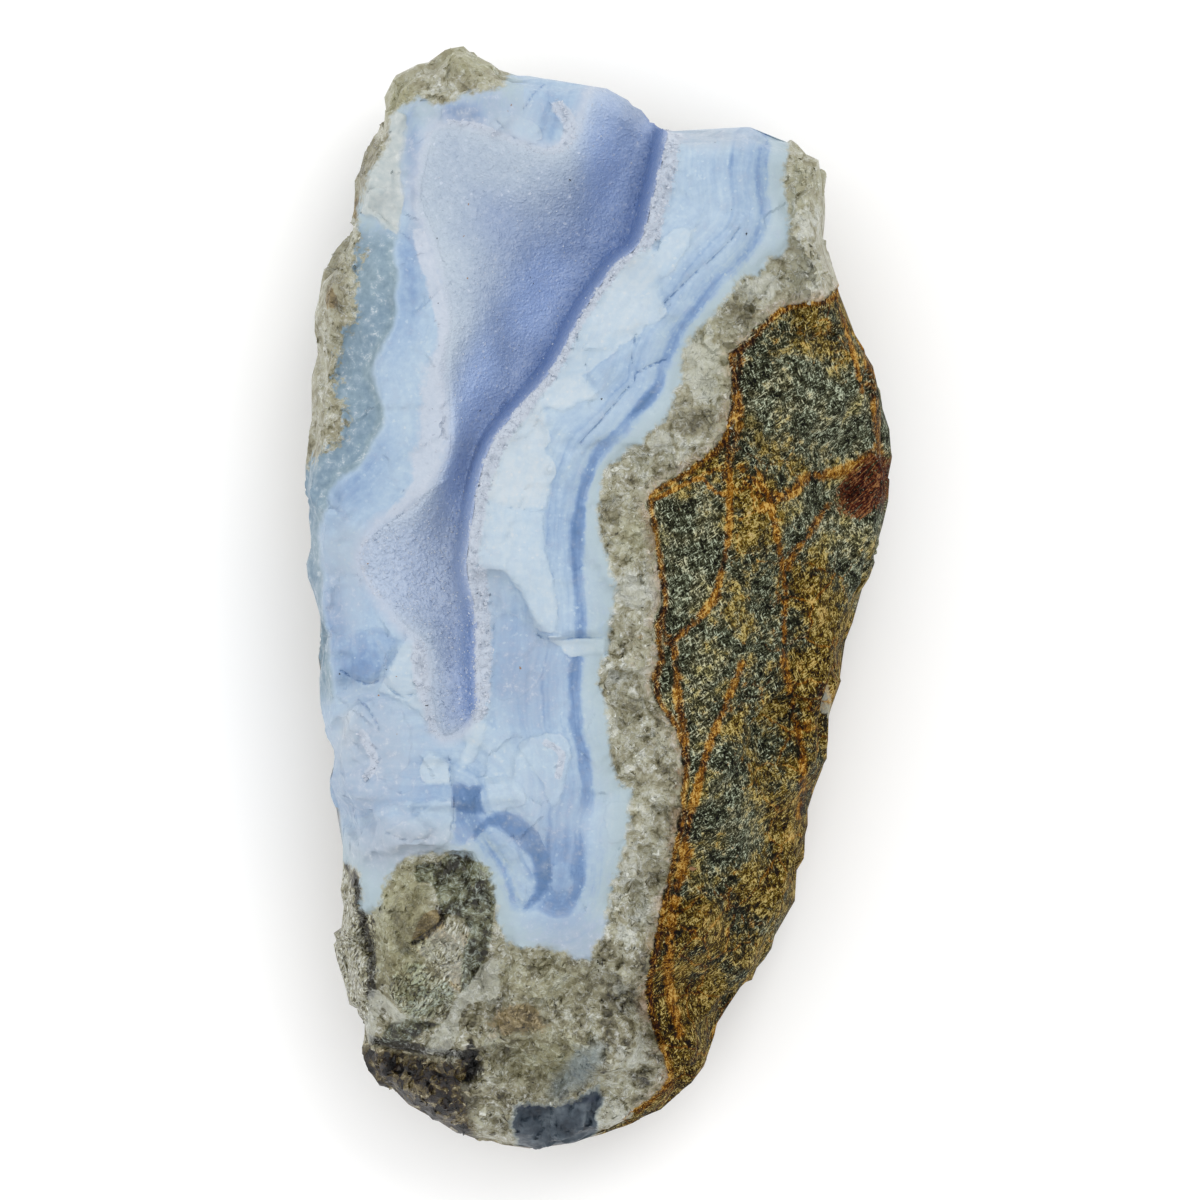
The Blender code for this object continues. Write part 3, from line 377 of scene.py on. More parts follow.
# Plates of the broken agate: shade (+ bluer, - paler), lift and corners
AGATE_PLATES = (
    (-0.49, 0.21, (
        (3.5, 42.4), (5.9, 42.2), (6.4, 40.4), (6.8, 39.1), (7.4, 35.8), (8.0, 34.4), (7.7, 33.8),
        (5.6, 32.6), (4.3, 31.3), (1.4, 29.5), (-1.4, 27.1), (-3.6, 26.4), (-6.4, 27.0),
        (-4.0, 31.6), (-1.0, 36.4), (1.6, 40.0),
    )),
    (-0.38, 0.15, (
        (9.4, 44.6), (10.8, 44.3), (10.9, 43.4), (10.6, 42.0), (9.7, 40.7), (8.8, 39.4),
        (7.1, 38.4), (6.4, 40.7), (7.0, 42.0), (7.4, 43.1),
    )),
    (-0.66, 0.18, (
        (-6.8, 26.4), (-4.8, 26.6), (-3.1, 27.7), (-1.9, 26.6), (-0.9, 25.3), (-0.2, 24.0),
        (-2.6, 23.6), (-4.4, 22.4), (-6.6, 23.2), (-6.2, 21.0), (-5.9, 19.2), (-6.6, 18.0),
        (-5.8, 16.8), (-5.2, 15.9), (-5.3, 14.4), (-6.0, 13.8), (-6.2, 11.4), (-6.6, 10.8),
        (-9.5, 10.9), (-12.0, 11.4), (-15.0, 12.6), (-14.0, 15.4), (-12.4, 19.4), (-9.4, 23.4),
    )),
    (-0.36, 0.24, (
        (-15.1, 12.5), (-12.0, 11.3), (-9.5, 10.7), (-7.2, 10.7), (-6.7, 9.4), (-6.6, 6.8),
        (-6.2, 4.8), (-5.4, 1.2), (-5.1, -3.8), (-7.2, -3.8), (-7.8, -2.9), (-9.0, -0.2),
        (-9.4, 0.7), (-10.2, 1.4), (-11.2, 3.0), (-12.6, 3.7), (-15.1, 3.7), (-16.0, 4.8),
        (-15.7, 6.8), (-15.5, 9.4),
    )),
    (-0.64, 0.18, (
        (-7.2, -3.8), (-5.3, -4.4), (0.0, -4.6), (1.4, -4.9), (1.8, -5.8), (0.7, -6.4),
        (-2.4, -6.6), (-3.8, -6.8), (-5.0, -5.4),
    )),
    (0.45, -0.12, (
        (-12.6, -2.4), (-10.8, -1.4), (-8.6, -2.8), (-6.8, -4.8), (-6.5, -7.8), (-8.4, -10.8),
        (-11.4, -12.0), (-12.8, -10.8), (-13.4, -7.2),
    )),
    (-0.25, 0.16, (
        (0.8, -24.7), (1.8, -24.0), (3.4, -24.2), (3.6, -26.4), (3.1, -28.6), (1.4, -29.0),
        (0.8, -27.4),
    )),
    (-0.22, 0.18, (
        (-22.6, -26.2), (-20.4, -24.7), (-17.8, -24.0), (-17.4, -27.0), (-18.6, -29.4),
        (-21.0, -30.2), (-24.0, -30.4), (-25.8, -29.4), (-26.0, -27.6),
    )),
    (0.60, -0.21, (
        (-31.2, -8.4), (-31.0, -6.0), (-30.2, -4.3), (-28.8, -3.5), (-28.0, -3.4), (-26.6, -4.9),
        (-25.7, -6.4), (-26.0, -8.5), (-27.4, -10.1), (-29.5, -9.5),
    )),
    (0.52, -0.06, (
        (-28.0, -3.0), (-24.0, -4.8), (-25.8, -9.4), (-25.8, -6.2),
    )),
    (-0.45, 0.21, (
        (-23.6, -5.0), (-22.1, -4.1), (-20.6, -4.0), (-20.0, -9.0), (-20.6, -10.8), (-20.4, -15.0),
        (-21.8, -13.4), (-24.0, -12.0), (-26.6, -11.0), (-25.7, -9.6),
    )),
    (0.14, 0.14, (
        (-25.9, -11.8), (-23.5, -13.4), (-22.6, -16.2), (-23.0, -19.8), (-25.2, -21.7),
        (-27.1, -20.6), (-29.4, -19.0), (-30.4, -15.6), (-28.8, -12.4),
    )),
    (-0.45, 0.18, (
        (-16.7, -14.3), (-13.7, -14.0), (-13.9, -16.6), (-15.4, -19.6), (-16.9, -20.6),
        (-16.2, -17.0),
    )),
    (-0.45, 0.12, (
        (-20.6, -18.0), (-19.2, -18.8), (-18.0, -19.6), (-18.0, -21.8), (-20.6, -22.0),
        (-21.6, -20.4),
    )),
    (-0.95, 0.24, (
        (-25.4, 58.6), (-25.6, 55.2), (-27.2, 52.4), (-28.4, 49.8), (-28.9, 46.6), (-26.8, 45.7),
        (-24.4, 43.9), (-23.5, 48.4), (-24.0, 51.9), (-23.6, 54.8), (-23.4, 58.2),
    )),
    (-0.22, 0.06, (
        (-13.2, 57.0), (-10.4, 58.0), (-7.2, 56.6), (-7.6, 54.4), (-10.0, 55.2),
    )),
    (-0.12, 0.14, (
        (-9.9, -17.6), (-8.3, -16.3), (-4.8, -15.9), (-3.5, -17.6), (-4.0, -21.1), (-4.8, -24.2),
        (-5.9, -24.6), (-6.6, -22.4), (-9.2, -18.5),
    )),
    (-0.12, 0.12, (
        (-13.6, -21.5), (-10.9, -21.1), (-9.2, -22.4), (-8.8, -24.2), (-10.9, -25.0),
        (-13.1, -25.3), (-13.4, -23.3),
    )),
    (1.4, -0.15, (
        (-17.7, -22.0), (-15.6, -22.3), (-13.8, -22.0), (-14.1, -24.0), (-13.7, -25.5),
        (-15.6, -25.7), (-17.3, -25.0),
    )),
    (0.80, -0.2, (
        (-17.3, -25.2), (-14.0, -25.5), (-13.5, -26.2), (-15.3, -28.1), (-16.2, -29.4),
        (-17.9, -29.0), (-17.4, -27.2),
    )),
    (1.35, -0.2, (
        (-15.3, -27.6), (-13.4, -25.6), (-10.9, -25.2), (-8.8, -26.3), (-7.0, -28.5),
        (-6.0, -30.7), (-5.8, -33.4), (-6.6, -35.4), (-8.3, -36.8), (-9.2, -37.0),
        (-8.8, -36.0), (-7.8, -34.2), (-8.0, -32.0), (-8.9, -30.3), (-10.6, -28.4),
        (-12.3, -27.3), (-13.6, -27.4), (-14.9, -28.6),
    )),
    (0.38, 0.0, (
        (-13.1, -27.8), (-12.0, -28.0), (-10.3, -29.7), (-9.1, -32.0), (-8.7, -34.2),
        (-9.2, -36.4), (-9.9, -35.1), (-10.5, -32.5), (-11.8, -30.3), (-13.4, -29.0),
    )),
    (0.90, -0.1, (
        (-13.5, -29.2), (-11.8, -30.6), (-10.5, -32.9), (-10.0, -36.2), (-11.0, -35.4),
        (-11.9, -32.2), (-13.2, -30.4),
    )),
    (0.90, -0.12, (
        (-2.4, -27.6), (-1.8, -29.9), (-1.8, -33.4), (-2.8, -36.2), (-4.6, -37.1), (-6.6, -36.4),
        (-6.4, -34.9), (-4.4, -35.6), (-3.2, -34.2), (-3.0, -31.6), (-3.2, -29.9),
    )),
    (0.35, 0.06, (
        (-5.9, -31.8), (-3.7, -31.5), (-3.5, -34.2), (-5.0, -35.1), (-5.9, -34.2),
    )),
    (0.60, -0.1, (
        (-22.4, -22.2), (-18.0, -21.9), (-17.9, -23.4), (-20.2, -23.9), (-22.2, -24.4),
    )),
    (0.50, -0.12, (
        (-30.6, -24.0), (-29.0, -24.8), (-26.6, -23.6), (-24.0, -22.9), (-22.5, -22.8),
        (-22.6, -24.0), (-25.0, -24.6), (-27.0, -25.6), (-29.4, -26.2),
    )),
)

# Softly tinted patches of the agate: middle, half sizes, turn in degrees, shade (+ is bluer)
AGATE_PATCHES = (
    ((-4.6, -32.0), (3.2, 5.6), 0.0, 0.75),
    ((-3.0, -40.0), (7.0, 3.0), -8.0, 0.5),
    ((-24.0, 31.0), (3.0, 6.0), 0.0, 0.2),
    ((-30.0, 15.0), (3.0, 4.6), 0.0, 0.2),
    ((-24.0, -26.0), (8.0, 3.0), 0.0, 0.2),
    ((-1.2, -31.0), (1.6, 7.0), 0.0, 0.25),
    ((-9.4, -9.6), (4.0, 5.0), 0.0, 0.55),
    ((-4.8, -22.0), (3.4, 3.6), 0.0, 0.2),
    ((-30.0, -28.0), (5.0, 3.0), 0.0, 0.2),
    ((-27.0, -14.0), (5.0, 7.0), 0.0, 0.2),
    ((-28.4, -8.2), (2.4, 1.4), 20.0, 0.6),
    ((-29.8, -15.2), (1.2, 2.4), -8.0, -1.1),
    ((-27.6, -14.0), (2.6, 2.6), 0.0, 0.25),
    ((-16.4, 58.0), (2.8, 1.7), -12.0, 1.3),
    ((-22.2, 52.6), (1.3, 5.4), 8.0, 0.85),
    ((-6.0, 58.0), (2.0, 3.2), -10.0, 0.45),
    ((-12.8, 59.6), (3.0, 1.4), -20.0, 0.45),
    ((5.3, 23.8), (2.6, 0.8), 48.0, 0.7),
    ((12.0, 48.8), (3.4, 4.6), 0.0, 0.25),
    ((13.0, 55.2), (5.0, 2.0), 0.0, -0.4),
    ((2.6, 27.6), (3.2, 3.0), -35.0, 0.3),
    ((-10.8, 0.0), (2.2, 3.4), 40.0, 0.15),
    ((-9.0, -14.0), (4.0, 3.4), 0.0, 0.25),
    ((-22.6, 39.8), (1.6, 4.4), 0.0, 0.35),
    ((-26.0, 3.0), (3.4, 5.4), 10.0, 0.2),
    ((-29.6, 6.4), (2.6, 3.4), 0.0, -0.3),
    ((-24.4, 22.0), (2.6, 5.0), 10.0, -0.3),
    ((-31.6, -3.0), (1.6, 5.0), 0.0, 0.45),
    ((-24.0, -17.0), (2.0, 3.4), 0.0, -0.15),
    ((-4.2, -9.0), (2.2, 3.2), 0.0, 0.25),
)

# Tinted patches of quartz and rock: middle, half sizes, turn and strength
ROCK_PATCHES = {
    "olive": (
        ((-23.6, -39.6), (3.8, 8.4), 0.0, 1.3), ((-6.4, -45.4), (6.0, 4.0), 0.0, 0.5),
        ((-6.4, -54.6), (6.6, 3.6), 0.0, 0.8), ((-15.4, 64.9), (4.4, 2.2), -10.0, 0.9),
        ((-24.5, 59.9), (2.6, 3.4), 20.0, 0.9), ((12.9, 29.0), (3.0, 5.4), 15.0, 0.5),
        ((4.0, 7.6), (2.6, 3.2), 0.0, 0.6), ((24.7, 50.7), (2.8, 4.4), 0.0, 0.4),
    ),
    "green": (
        ((9.8, 22.4), (1.6, 1.2), 20.0, 0.3),
    ),
    "white": (
        ((3.9, -54.0), (3.6, 2.8), 0.0, 0.55), ((1.8, -61.8), (2.4, 1.8), 0.0, 0.6),
        ((2.4, -46.6), (1.0, 0.7), 0.0, 1.0), ((4.3, 1.0), (2.8, 2.8), 0.0, 0.8),
        ((2.4, -8.9), (2.0, 1.6), 0.0, 0.6), ((24.9, 45.1), (2.4, 2.0), 0.0, 0.6),
        ((19.8, 37.6), (2.4, 2.0), 0.0, 0.8), ((12.0, 28.6), (3.2, 5.6), 15.0, 0.8),
        ((7.1, 18.8), (2.4, 1.8), 0.0, 0.7), ((3.1, -31.8), (1.8, 3.8), 0.0, 0.6),
        ((6.2, -14.2), (1.8, 3.4), 0.0, 0.45), ((3.6, -40.6), (1.8, 4.4), 0.0, 0.35),
        ((27.0, -12.4), (0.8, 3.0), 8.0, 0.62), ((-18.0, 60.9), (4.4, 1.4), 5.0, 0.45),
    ),
    "tan": (
        ((-10.1, -50.4), (3.8, 2.0), 0.0, 0.75), ((-32.2, 36.0), (0.8, 1.6), 0.0, 0.9),
        ((3.8, -5.6), (2.4, 2.4), 0.0, 0.4), ((8.2, 27.0), (0.9, 1.0), 0.0, 0.9),
        ((-29.3, 47.4), (0.8, 1.6), 0.0, 0.9),
    ),
    "dark": (
        ((-22.4, -38.6), (3.2, 4.6), 0.0, 0.6),
        ((3.1, -47.8), (2.8, 2.4), 0.0, 0.65), ((4.9, -58.0), (1.1, 0.8), 0.0, 1.2),
        ((1.4, 10.8), (1.6, 2.8), 0.0, 0.6),
        ((3.9, -12.6), (1.9, 1.5), 0.0, 0.5), ((17.1, 34.6), (2.2, 2.2), 20.0, 0.7),
        ((11.3, 21.2), (3.4, 2.0), 5.0, 0.75), ((6.4, -32.4), (1.6, 3.0), 0.0, 0.4),
        ((4.8, -22.4), (1.8, 2.6), 0.0, 0.25), ((-27.9, 53.0), (1.7, 4.2), -8.0, 0.6),
        ((-15.2, -55.6), (1.1, 2.2), 10.0, 1.2), ((-31.6, 37.0), (2.0, 6.0), 0.0, 0.5),
        ((-24.2, -57.4), (5.0, 1.2), -20.0, 0.3), ((11.6, -26.0), (4.6, 8.0), 0.0, 0.75),
        ((15.0, -38.0), (6.0, 7.0), 0.0, 0.5), ((9.0, -52.0), (5.0, 8.0), 0.0, 0.45),
        ((12.0, -10.0), (2.6, 6.0), 8.0, 0.4), ((25.4, -24.0), (1.6, 1.6), 0.0, 0.9),
        ((20.4, 6.6), (2.2, 1.4), 20.0, 0.5),
    ),
    "milky": (
        ((-15.0, 58.4), (8.0, 3.6), -6.0, 0.5), ((-23.6, 52.0), (3.6, 7.0), 8.0, 0.5),
        ((-27.6, -19.0), (6.0, 8.0), 0.0, 0.6), ((-24.0, -29.4), (7.0, 3.6), 0.0, 0.8),
        ((-19.6, -12.0), (2.6, 4.6), 0.0, 0.4), ((-13.6, 0.0), (3.0, 6.0), 0.0, 0.35),
        ((13.4, 55.6), (6.0, 1.8), 0.0, 0.6), ((-2.4, -40.6), (6.6, 3.4), 0.0, 0.5),
        ((-8.6, -9.0), (4.6, 6.0), 0.0, 0.45), ((-6.0, -26.0), (5.0, 6.0), 0.0, 0.3),
        ((-20.6, 45.0), (2.6, 7.0), 12.0, 0.6), ((-31.0, 2.0), (3.0, 8.0), 0.0, 0.45),
    ),
}

# Broken facets of the foot's quartz, drawn by their corners: tint, strength and corners
SCALY_WEDGE = (
    (-22.4, -41.0), (-17.4, -37.8), (-15.5, -39.8), (-16.2, -42.2), (-16.6, -47.0),
    (-18.3, -45.8), (-20.1, -44.0), (-21.8, -42.2),
)
SCALY_BLOCK = (
    (-23.2, -43.3), (-20.1, -44.0), (-18.3, -45.8), (-17.4, -47.5), (-18.7, -50.0),
    (-22.5, -50.0), (-24.8, -48.2), (-25.4, -45.8),
)
ROCK_FACETS = (
    ("scaly", 1.0, (
        (-30.8, -31.5), (-29.1, -33.4), (-28.9, -37.3), (-27.1, -37.8), (-27.0, -39.8),
        (-27.1, -44.0), (-27.3, -47.2), (-27.7, -49.8), (-28.0, -52.8), (-30.0, -53.8),
        (-33.0, -48.9), (-34.0, -41.0), (-33.6, -36.0), (-32.4, -32.0),
    )),
    ("scaly", 0.8, SCALY_WEDGE),
    ("scaly", 0.7, SCALY_BLOCK),
    ("tan", 0.34, SCALY_WEDGE),
    ("tan", 1.3, (
        (-22.4, -40.8), (-19.2, -39.4), (-18.8, -38.0), (-19.5, -37.0), (-21.1, -37.7),
        (-22.0, -39.4),
    )),
    ("green", 1.0, (
        (-22.0, -31.7), (-19.4, -31.3), (-16.9, -29.9), (-12.7, -31.0), (-12.3, -33.8),
        (-12.7, -37.7), (-13.4, -42.2), (-14.8, -44.9), (-16.6, -47.0), (-16.4, -42.2),
        (-15.5, -39.4), (-17.3, -37.7), (-18.7, -37.7), (-19.4, -35.9), (-20.1, -33.8),
        (-21.8, -33.8),
    )),
    ("green", 0.55, SCALY_BLOCK),
    ("green", 0.9, (
        (-22.9, -50.3), (-19.0, -50.9), (-21.1, -51.7), (-23.2, -53.5), (-26.2, -53.3),
        (-25.4, -51.0),
    )),
    ("white", 0.5, (
        (-21.8, -41.4), (-17.8, -38.6), (-16.2, -40.4), (-16.8, -45.8), (-18.6, -45.0),
        (-20.6, -43.2),
    )),
    ("white", 0.9, (
        (-27.8, -47.2), (-26.6, -46.8), (-25.0, -48.4), (-23.4, -50.2), (-24.7, -50.7),
        (-26.2, -48.9), (-27.3, -53.3), (-28.0, -52.8),
    )),
    ("white", 0.9, (
        (-14.3, -43.7), (-12.3, -43.3), (-12.3, -48.2), (-13.9, -48.1), (-16.0, -48.6),
        (-16.6, -50.0), (-17.8, -54.0), (-21.1, -53.9), (-19.0, -51.0), (-17.4, -48.1),
        (-15.5, -45.8),
    )),
    ("dark", 0.9, (
        (-30.7, -31.8), (-29.0, -33.4), (-28.7, -37.2), (-27.1, -37.8), (-27.0, -44.0),
        (-27.9, -43.0), (-28.3, -39.0), (-29.6, -37.4), (-30.0, -34.6),
    )),
)

# A dark red-brown scar of rust at the right edge: middle, half sizes and turn in degrees
RUST_SCAR = ((32.2, 13.8), (4.6, 2.9), 46.0)

# Gaps between the foot's broken blocks, cut in and darkened with painted shade: points, half width and
# strength
ROCK_GAPS = (
    (((-30.8, -31.5), (-29.4, -33.2), (-28.9, -36.5), (-28.2, -39.5), (-27.4, -43.0), (-27.6, -47.5)),
     0.5, 1.0),
    (((-19.4, -36.8), (-18.8, -38.2), (-20.4, -39.8), (-22.3, -41.0)), 0.28, 1.0),
    (((-27.8, -52.8), (-24.0, -53.6), (-20.0, -54.2), (-16.4, -54.6)), 0.5, 1.0),
    (((-15.9, -57.6), (-15.0, -55.4), (-15.6, -53.0)), 0.4, 1.0),
)

# The dark, earthy corner at the foot's left, drawn by its corners
DARK_FOOT = (
    (-29.5, -53.0), (-28.8, -53.4), (-26.4, -53.3), (-23.0, -54.0), (-20.4, -54.7), (-17.4, -55.4),
    (-15.8, -53.5), (-14.3, -53.0), (-13.9, -55.0), (-14.6, -57.1), (-16.0, -58.6),
    (-15.4, -61.0), (-14.6, -66.5), (-22.0, -65.5), (-30.5, -58.0),
)
# The slate-blue knob at the foot, the crease over it, along which shade is painted dark, and the bluish
# haze beside it
KNOB = (
    (-10.4, -60.9), (-8.0, -60.4), (-5.6, -60.7), (-3.4, -60.0), (-1.6, -59.2), (-0.2, -58.2),
    (0.6, -59.6), (-0.2, -62.4), (-0.6, -66.5), (-4.6, -68.0), (-9.0, -68.0), (-10.4, -65.6),
    (-10.9, -63.0),
)
KNOB_CREASE = ((-10.2, -60.9), (-6.2, -60.8), (-3.4, -60.4), (-1.0, -60.0), (0.4, -59.6))
FOOT_HAZE = ((-2.6, -56.6), (2.0, 5.4), -42.0)

# The quartz corner's edge against the agate, at the top left
CORNER_EDGE = (
    (-30.6, 45.2), (-29.0, 47.4), (-28.2, 49.8), (-27.4, 51.6), (-26.2, 53.6), (-25.2, 55.6),
    (-25.1, 58.0), (-22.8, 59.8), (-21.0, 60.0), (-19.0, 59.3), (-17.4, 59.9), (-15.7, 60.9),
    (-13.2, 61.0), (-11.6, 61.6), (-10.8, 63.4), (-10.6, 66.0),
)

# Small dark and rusty specks on the face: place and half size
DARK_SPECKS = (
    (-3.5, 50.4, 0.34), (-5.5, 44.6, 0.22), (-8.4, 38.6, 0.14), (-8.0, 38.0, 0.14),
    (-9.6, 30.6, 0.14), (-14.6, 22.7, 0.2), (-13.9, 22.6, 0.2), (-20.0, 22.8, 0.16),
    (-18.8, 22.6, 0.16), (-7.9, 33.6, 0.34), (2.0, 59.2, 0.22), (7.9, 57.2, 0.28),
    (-19.4, 43.3, 0.16), (-19.4, 35.6, 0.2), (0.2, 23.9, 0.26), (6.5, 43.2, 0.22),
    (14.2, 51.6, 0.16), (14.0, 50.8, 0.16), (17.4, 43.7, 0.26), (-16.5, 9.4, 0.2),
    (-14.7, 12.4, 0.24), (1.7, 29.8, 0.12), (-9.6, -8.4, 0.16), (-1.6, -20.0, 0.2),
    (-21.6, -12.0, 0.16), (-20.8, -12.6, 0.3), (-25.6, -8.4, 0.16), (-31.3, -8.9, 0.16),
    (3.8, -29.0, 0.24), (-6.0, -42.9, 0.16), (15.6, 46.6, 0.14),
)
RUSTY_SPECKS = (
    (-11.0, 58.4, 0.5), (-9.8, 57.7, 0.4), (-10.7, 59.2, 0.25), (-15.9, 47.4, 0.35),
    (-16.2, 43.6, 0.3), (-16.0, 40.0, 0.25), (-15.9, 38.4, 0.25), (-24.8, -1.0, 0.2),
    (-9.6, -8.2, 0.34), (-24.4, -9.2, 0.2), (2.4, -37.4, 0.24), (11.3, -32.0, 0.8),
    (-26.4, -11.4, 0.25), (-24.4, -16.0, 0.2), (21.0, 29.0, 0.3), (-27.8, 4.4, 0.2),
)

# Fields that the materials read on the stone, and on the quartz grains
STONE_FIELDS = (
    "depth", "bank", "rind", "host", "wall", "left", "on_left", "sugar", "rust", "brown", "scar",
    "crack", "shade", "plate", "plate_shade", "foot", "knob", "crease", "haze", "warp", "jag",
    "band", "low", "toward_bank", "pocket", "cloud", "olive", "green", "white", "tan", "dark",
    "milky", "scaly", "gap", "from_ridge", "druse_painted_light",
)
GRAIN_FIELDS = (
    "white", "dark", "green", "olive", "tan", "scaly", "foot", "low", "host", "haze", "gap",
)


def smooth_line(points, steps=4, closed=True):
    """Points of a Catmull-Rom curve through the given ones."""
    pts = np.array(points, dtype=float)
    count = len(pts)
    spans = count if closed else count - 1
    out = []
    for i in range(spans):
        picks = [i - 1, i, i + 1, i + 2]
        picks = [k % count if closed else min(max(k, 0), count - 1) for k in picks]
        a, b, c, d = pts[picks]
        for k in range(steps):
            t = k / steps
            bend = 2 * b + (c - a) * t + (2 * a - 5 * b + 4 * c - d) * t * t
            out.append(0.5 * (bend + (3 * b - a - 3 * c + d) * t ** 3))
    if not closed:
        out.append(pts[-1])
    return np.array(out)


def along_line(xy, line):
    """Distance to an open line, side of it (+1 left, -1 right) and the share of its length."""
    best = np.full(len(xy), 1e9)
    side = np.ones(len(xy))
    share = np.zeros(len(xy))
    line = np.asarray(line, dtype=float)
    for i in range(len(line) - 1):
        a = line[i]
        ab = line[i + 1] - a
        dx = xy[:, 0] - a[0]
        dy = xy[:, 1] - a[1]
        t = np.clip((dx * ab[0] + dy * ab[1]) / (ab @ ab), 0.0, 1.0)
        gap = (dx - t * ab[0]) ** 2 + (dy - t * ab[1]) ** 2
        near = np.flatnonzero(gap < best)
        best[near] = gap[near]
        side[near] = np.where(ab[0] * dy[near] - ab[1] * dx[near] >= 0, 1.0, -1.0)
        share[near] = (i + t[near]) / (len(line) - 1)
    return np.sqrt(best), side, share


def beside_line(xy, line, steps=2):
    """Signed distance to an open smooth line, positive on its left-hand side."""
    gap, side, _ = along_line(xy, smooth_line(line, steps, closed=False))
    return gap * side


def close_to(xy, line, reach):
    """Distance to an open line, worked out only where it is less than reach."""
    line = np.asarray(line, dtype=float)
    low = line.min(axis=0) - reach
    high = line.max(axis=0) + reach
    near = np.flatnonzero(np.all((xy > low) & (xy < high), axis=1))
    gap = np.full(len(xy), float(reach))
    gap[near] = np.minimum(along_line(xy[near], line)[0], reach)
    return gap


def inside_depth(xy, loop):
    """Distance to a closed loop, positive inside it."""
    loop = np.asarray(loop, dtype=float)
    closed = np.vstack([loop, loop[:1]])
    gap, _, _ = along_line(xy, closed)
    crossings = np.zeros(len(xy), dtype=int)
    for a, b in zip(closed[:-1], closed[1:]):
        spans = (a[1] > xy[:, 1]) != (b[1] > xy[:, 1])
        rise = b[1] - a[1] if b[1] != a[1] else 1e-9
        reach = a[0] + (xy[:, 1] - a[1]) * (b[0] - a[0]) / rise
        crossings += spans & (xy[:, 0] < reach)
    return np.where(crossings % 2 == 1, gap, -gap)


def near_loop(xy, loop, reach):
    """Distance to a closed loop, positive inside, worked out only around it."""
    loop = np.asarray(loop, dtype=float)
    low = loop.min(axis=0) - reach
    high = loop.max(axis=0) + reach
    near = np.flatnonzero(np.all((xy > low) & (xy < high), axis=1))
    depth = np.full(len(xy), -float(reach))
    depth[near] = np.maximum(inside_depth(xy[near], loop), -reach)
    return depth


def patch(xy, middle, half, turn):
    """1 in the middle of a soft-edged oval, 0 outside it."""
    way = math.radians(turn)
    dx = xy[:, 0] - middle[0]
    dy = xy[:, 1] - middle[1]
    u = (dx * math.cos(way) + dy * math.sin(way)) / half[0]
    v = (dy * math.cos(way) - dx * math.sin(way)) / half[1]
    return np.exp(-(u * u + v * v) ** 1.5)


def ease(t):
    """A smooth step from 0 to 1."""
    t = np.clip(t, 0.0, 1.0)
    return t * t * (3.0 - 2.0 * t)


def between_spots(xy, spots, softness=3.5):
    """Height between surveyed spots, weighted by closeness."""
    total = np.zeros(len(xy))
    weights = np.zeros(len(xy))
    for x, y, z in spots:
        away = (xy[:, 0] - x) ** 2 + (xy[:, 1] - y) ** 2 + softness ** 2
        weight = away ** -2.0
        total += weight * z
        weights += weight
    return total / weights


def roughness(points, size, octaves=3, offset=0.0):
    """Fractal noise of a given lump size at each point, about -1 to 1."""
    shift = Vector((offset, -offset, 2.0 * offset))
    return np.array([noise.fractal(Vector(p) / size + shift, 1.0, 2.0, octaves) for p in points])


def grains(points, size):
    """Rounded grains: high in the middle of each cell, low along the joints."""
    out = []
    for p in points:
        near, _ = noise.voronoi(Vector(p) / size)
        out.append(min((near[1] - near[0]) * 2.0, 1.0))
    return np.array(out)


def facets(points, size):
    """Flat chips: each cell is a plane with a tilt of its own."""
    out = []
    for p in points:
        spot = Vector(p) / size
        _, sites = noise.voronoi(spot)
        tilt = noise.cell_vector(sites[0] * 7.3) - Vector((0.5, 0.5, 0.5))
        out.append(2.0 * tilt.dot(spot - sites[0]) * size)
    return np.array(out)


def flat(xy):
    """Places on the face as points at height 0."""
    return np.column_stack([xy, np.zeros(len(xy))])


def ledge_relief(xy):
    """Low steps of the broken face, fading away from their edges."""
    relief = np.zeros(len(xy))
    for points, drop, fade in LEDGES:
        gap, side, share = along_line(xy, np.array(points, dtype=float))
        ends = ease(np.minimum(share, 1.0 - share) / 0.12)
        step = 0.5 + 0.5 * np.clip(side * gap / 0.35, -1.0, 1.0)
        relief += drop * (step - 0.5) * np.exp(-gap / fade) * ends
    return relief


def hollow_wall(xy, depth):
    """Share of the way down the ridge's wall, and how far toward the low bank a place lies."""
    from_ridge, _, _ = along_line(xy, smooth_line(RIDGE, closed=False))
    from_bank, _, _ = along_line(xy, smooth_line(BANK, closed=False))
    toward_bank = from_ridge / (from_ridge + from_bank + 0.3)
    eased = ease((CLIFF_EASES_FROM - xy[:, 1]) / CLIFF_EASES_OVER)
    cliff = CLIFF_WIDTH + (CLIFF_WIDTH_LOW - CLIFF_WIDTH) * eased
    share = ease(from_ridge / cliff) * ease((depth + 0.2) / 0.4)
    return share, ease((toward_bank - BANK_FROM) / (1.0 - BANK_FROM))


def rock_share(xy):
    """1 on quartz and host rock, 0 on agate, and the same for the host rock alone."""
    rind = 0.5 + 0.5 * np.clip(beside_line(xy, AGATE_EDGE) / 0.8, -1.0, 1.0)
    host = 0.5 + 0.5 * np.clip(beside_line(xy, HOST_EDGE) / 0.8, -1.0, 1.0)
    corner = ease((inside_depth(xy, OUTLINE) - 6.0) / -3.0) * ease((-14.0 - xy[:, 0]) / 6.0)
    return np.maximum(rind, corner), host


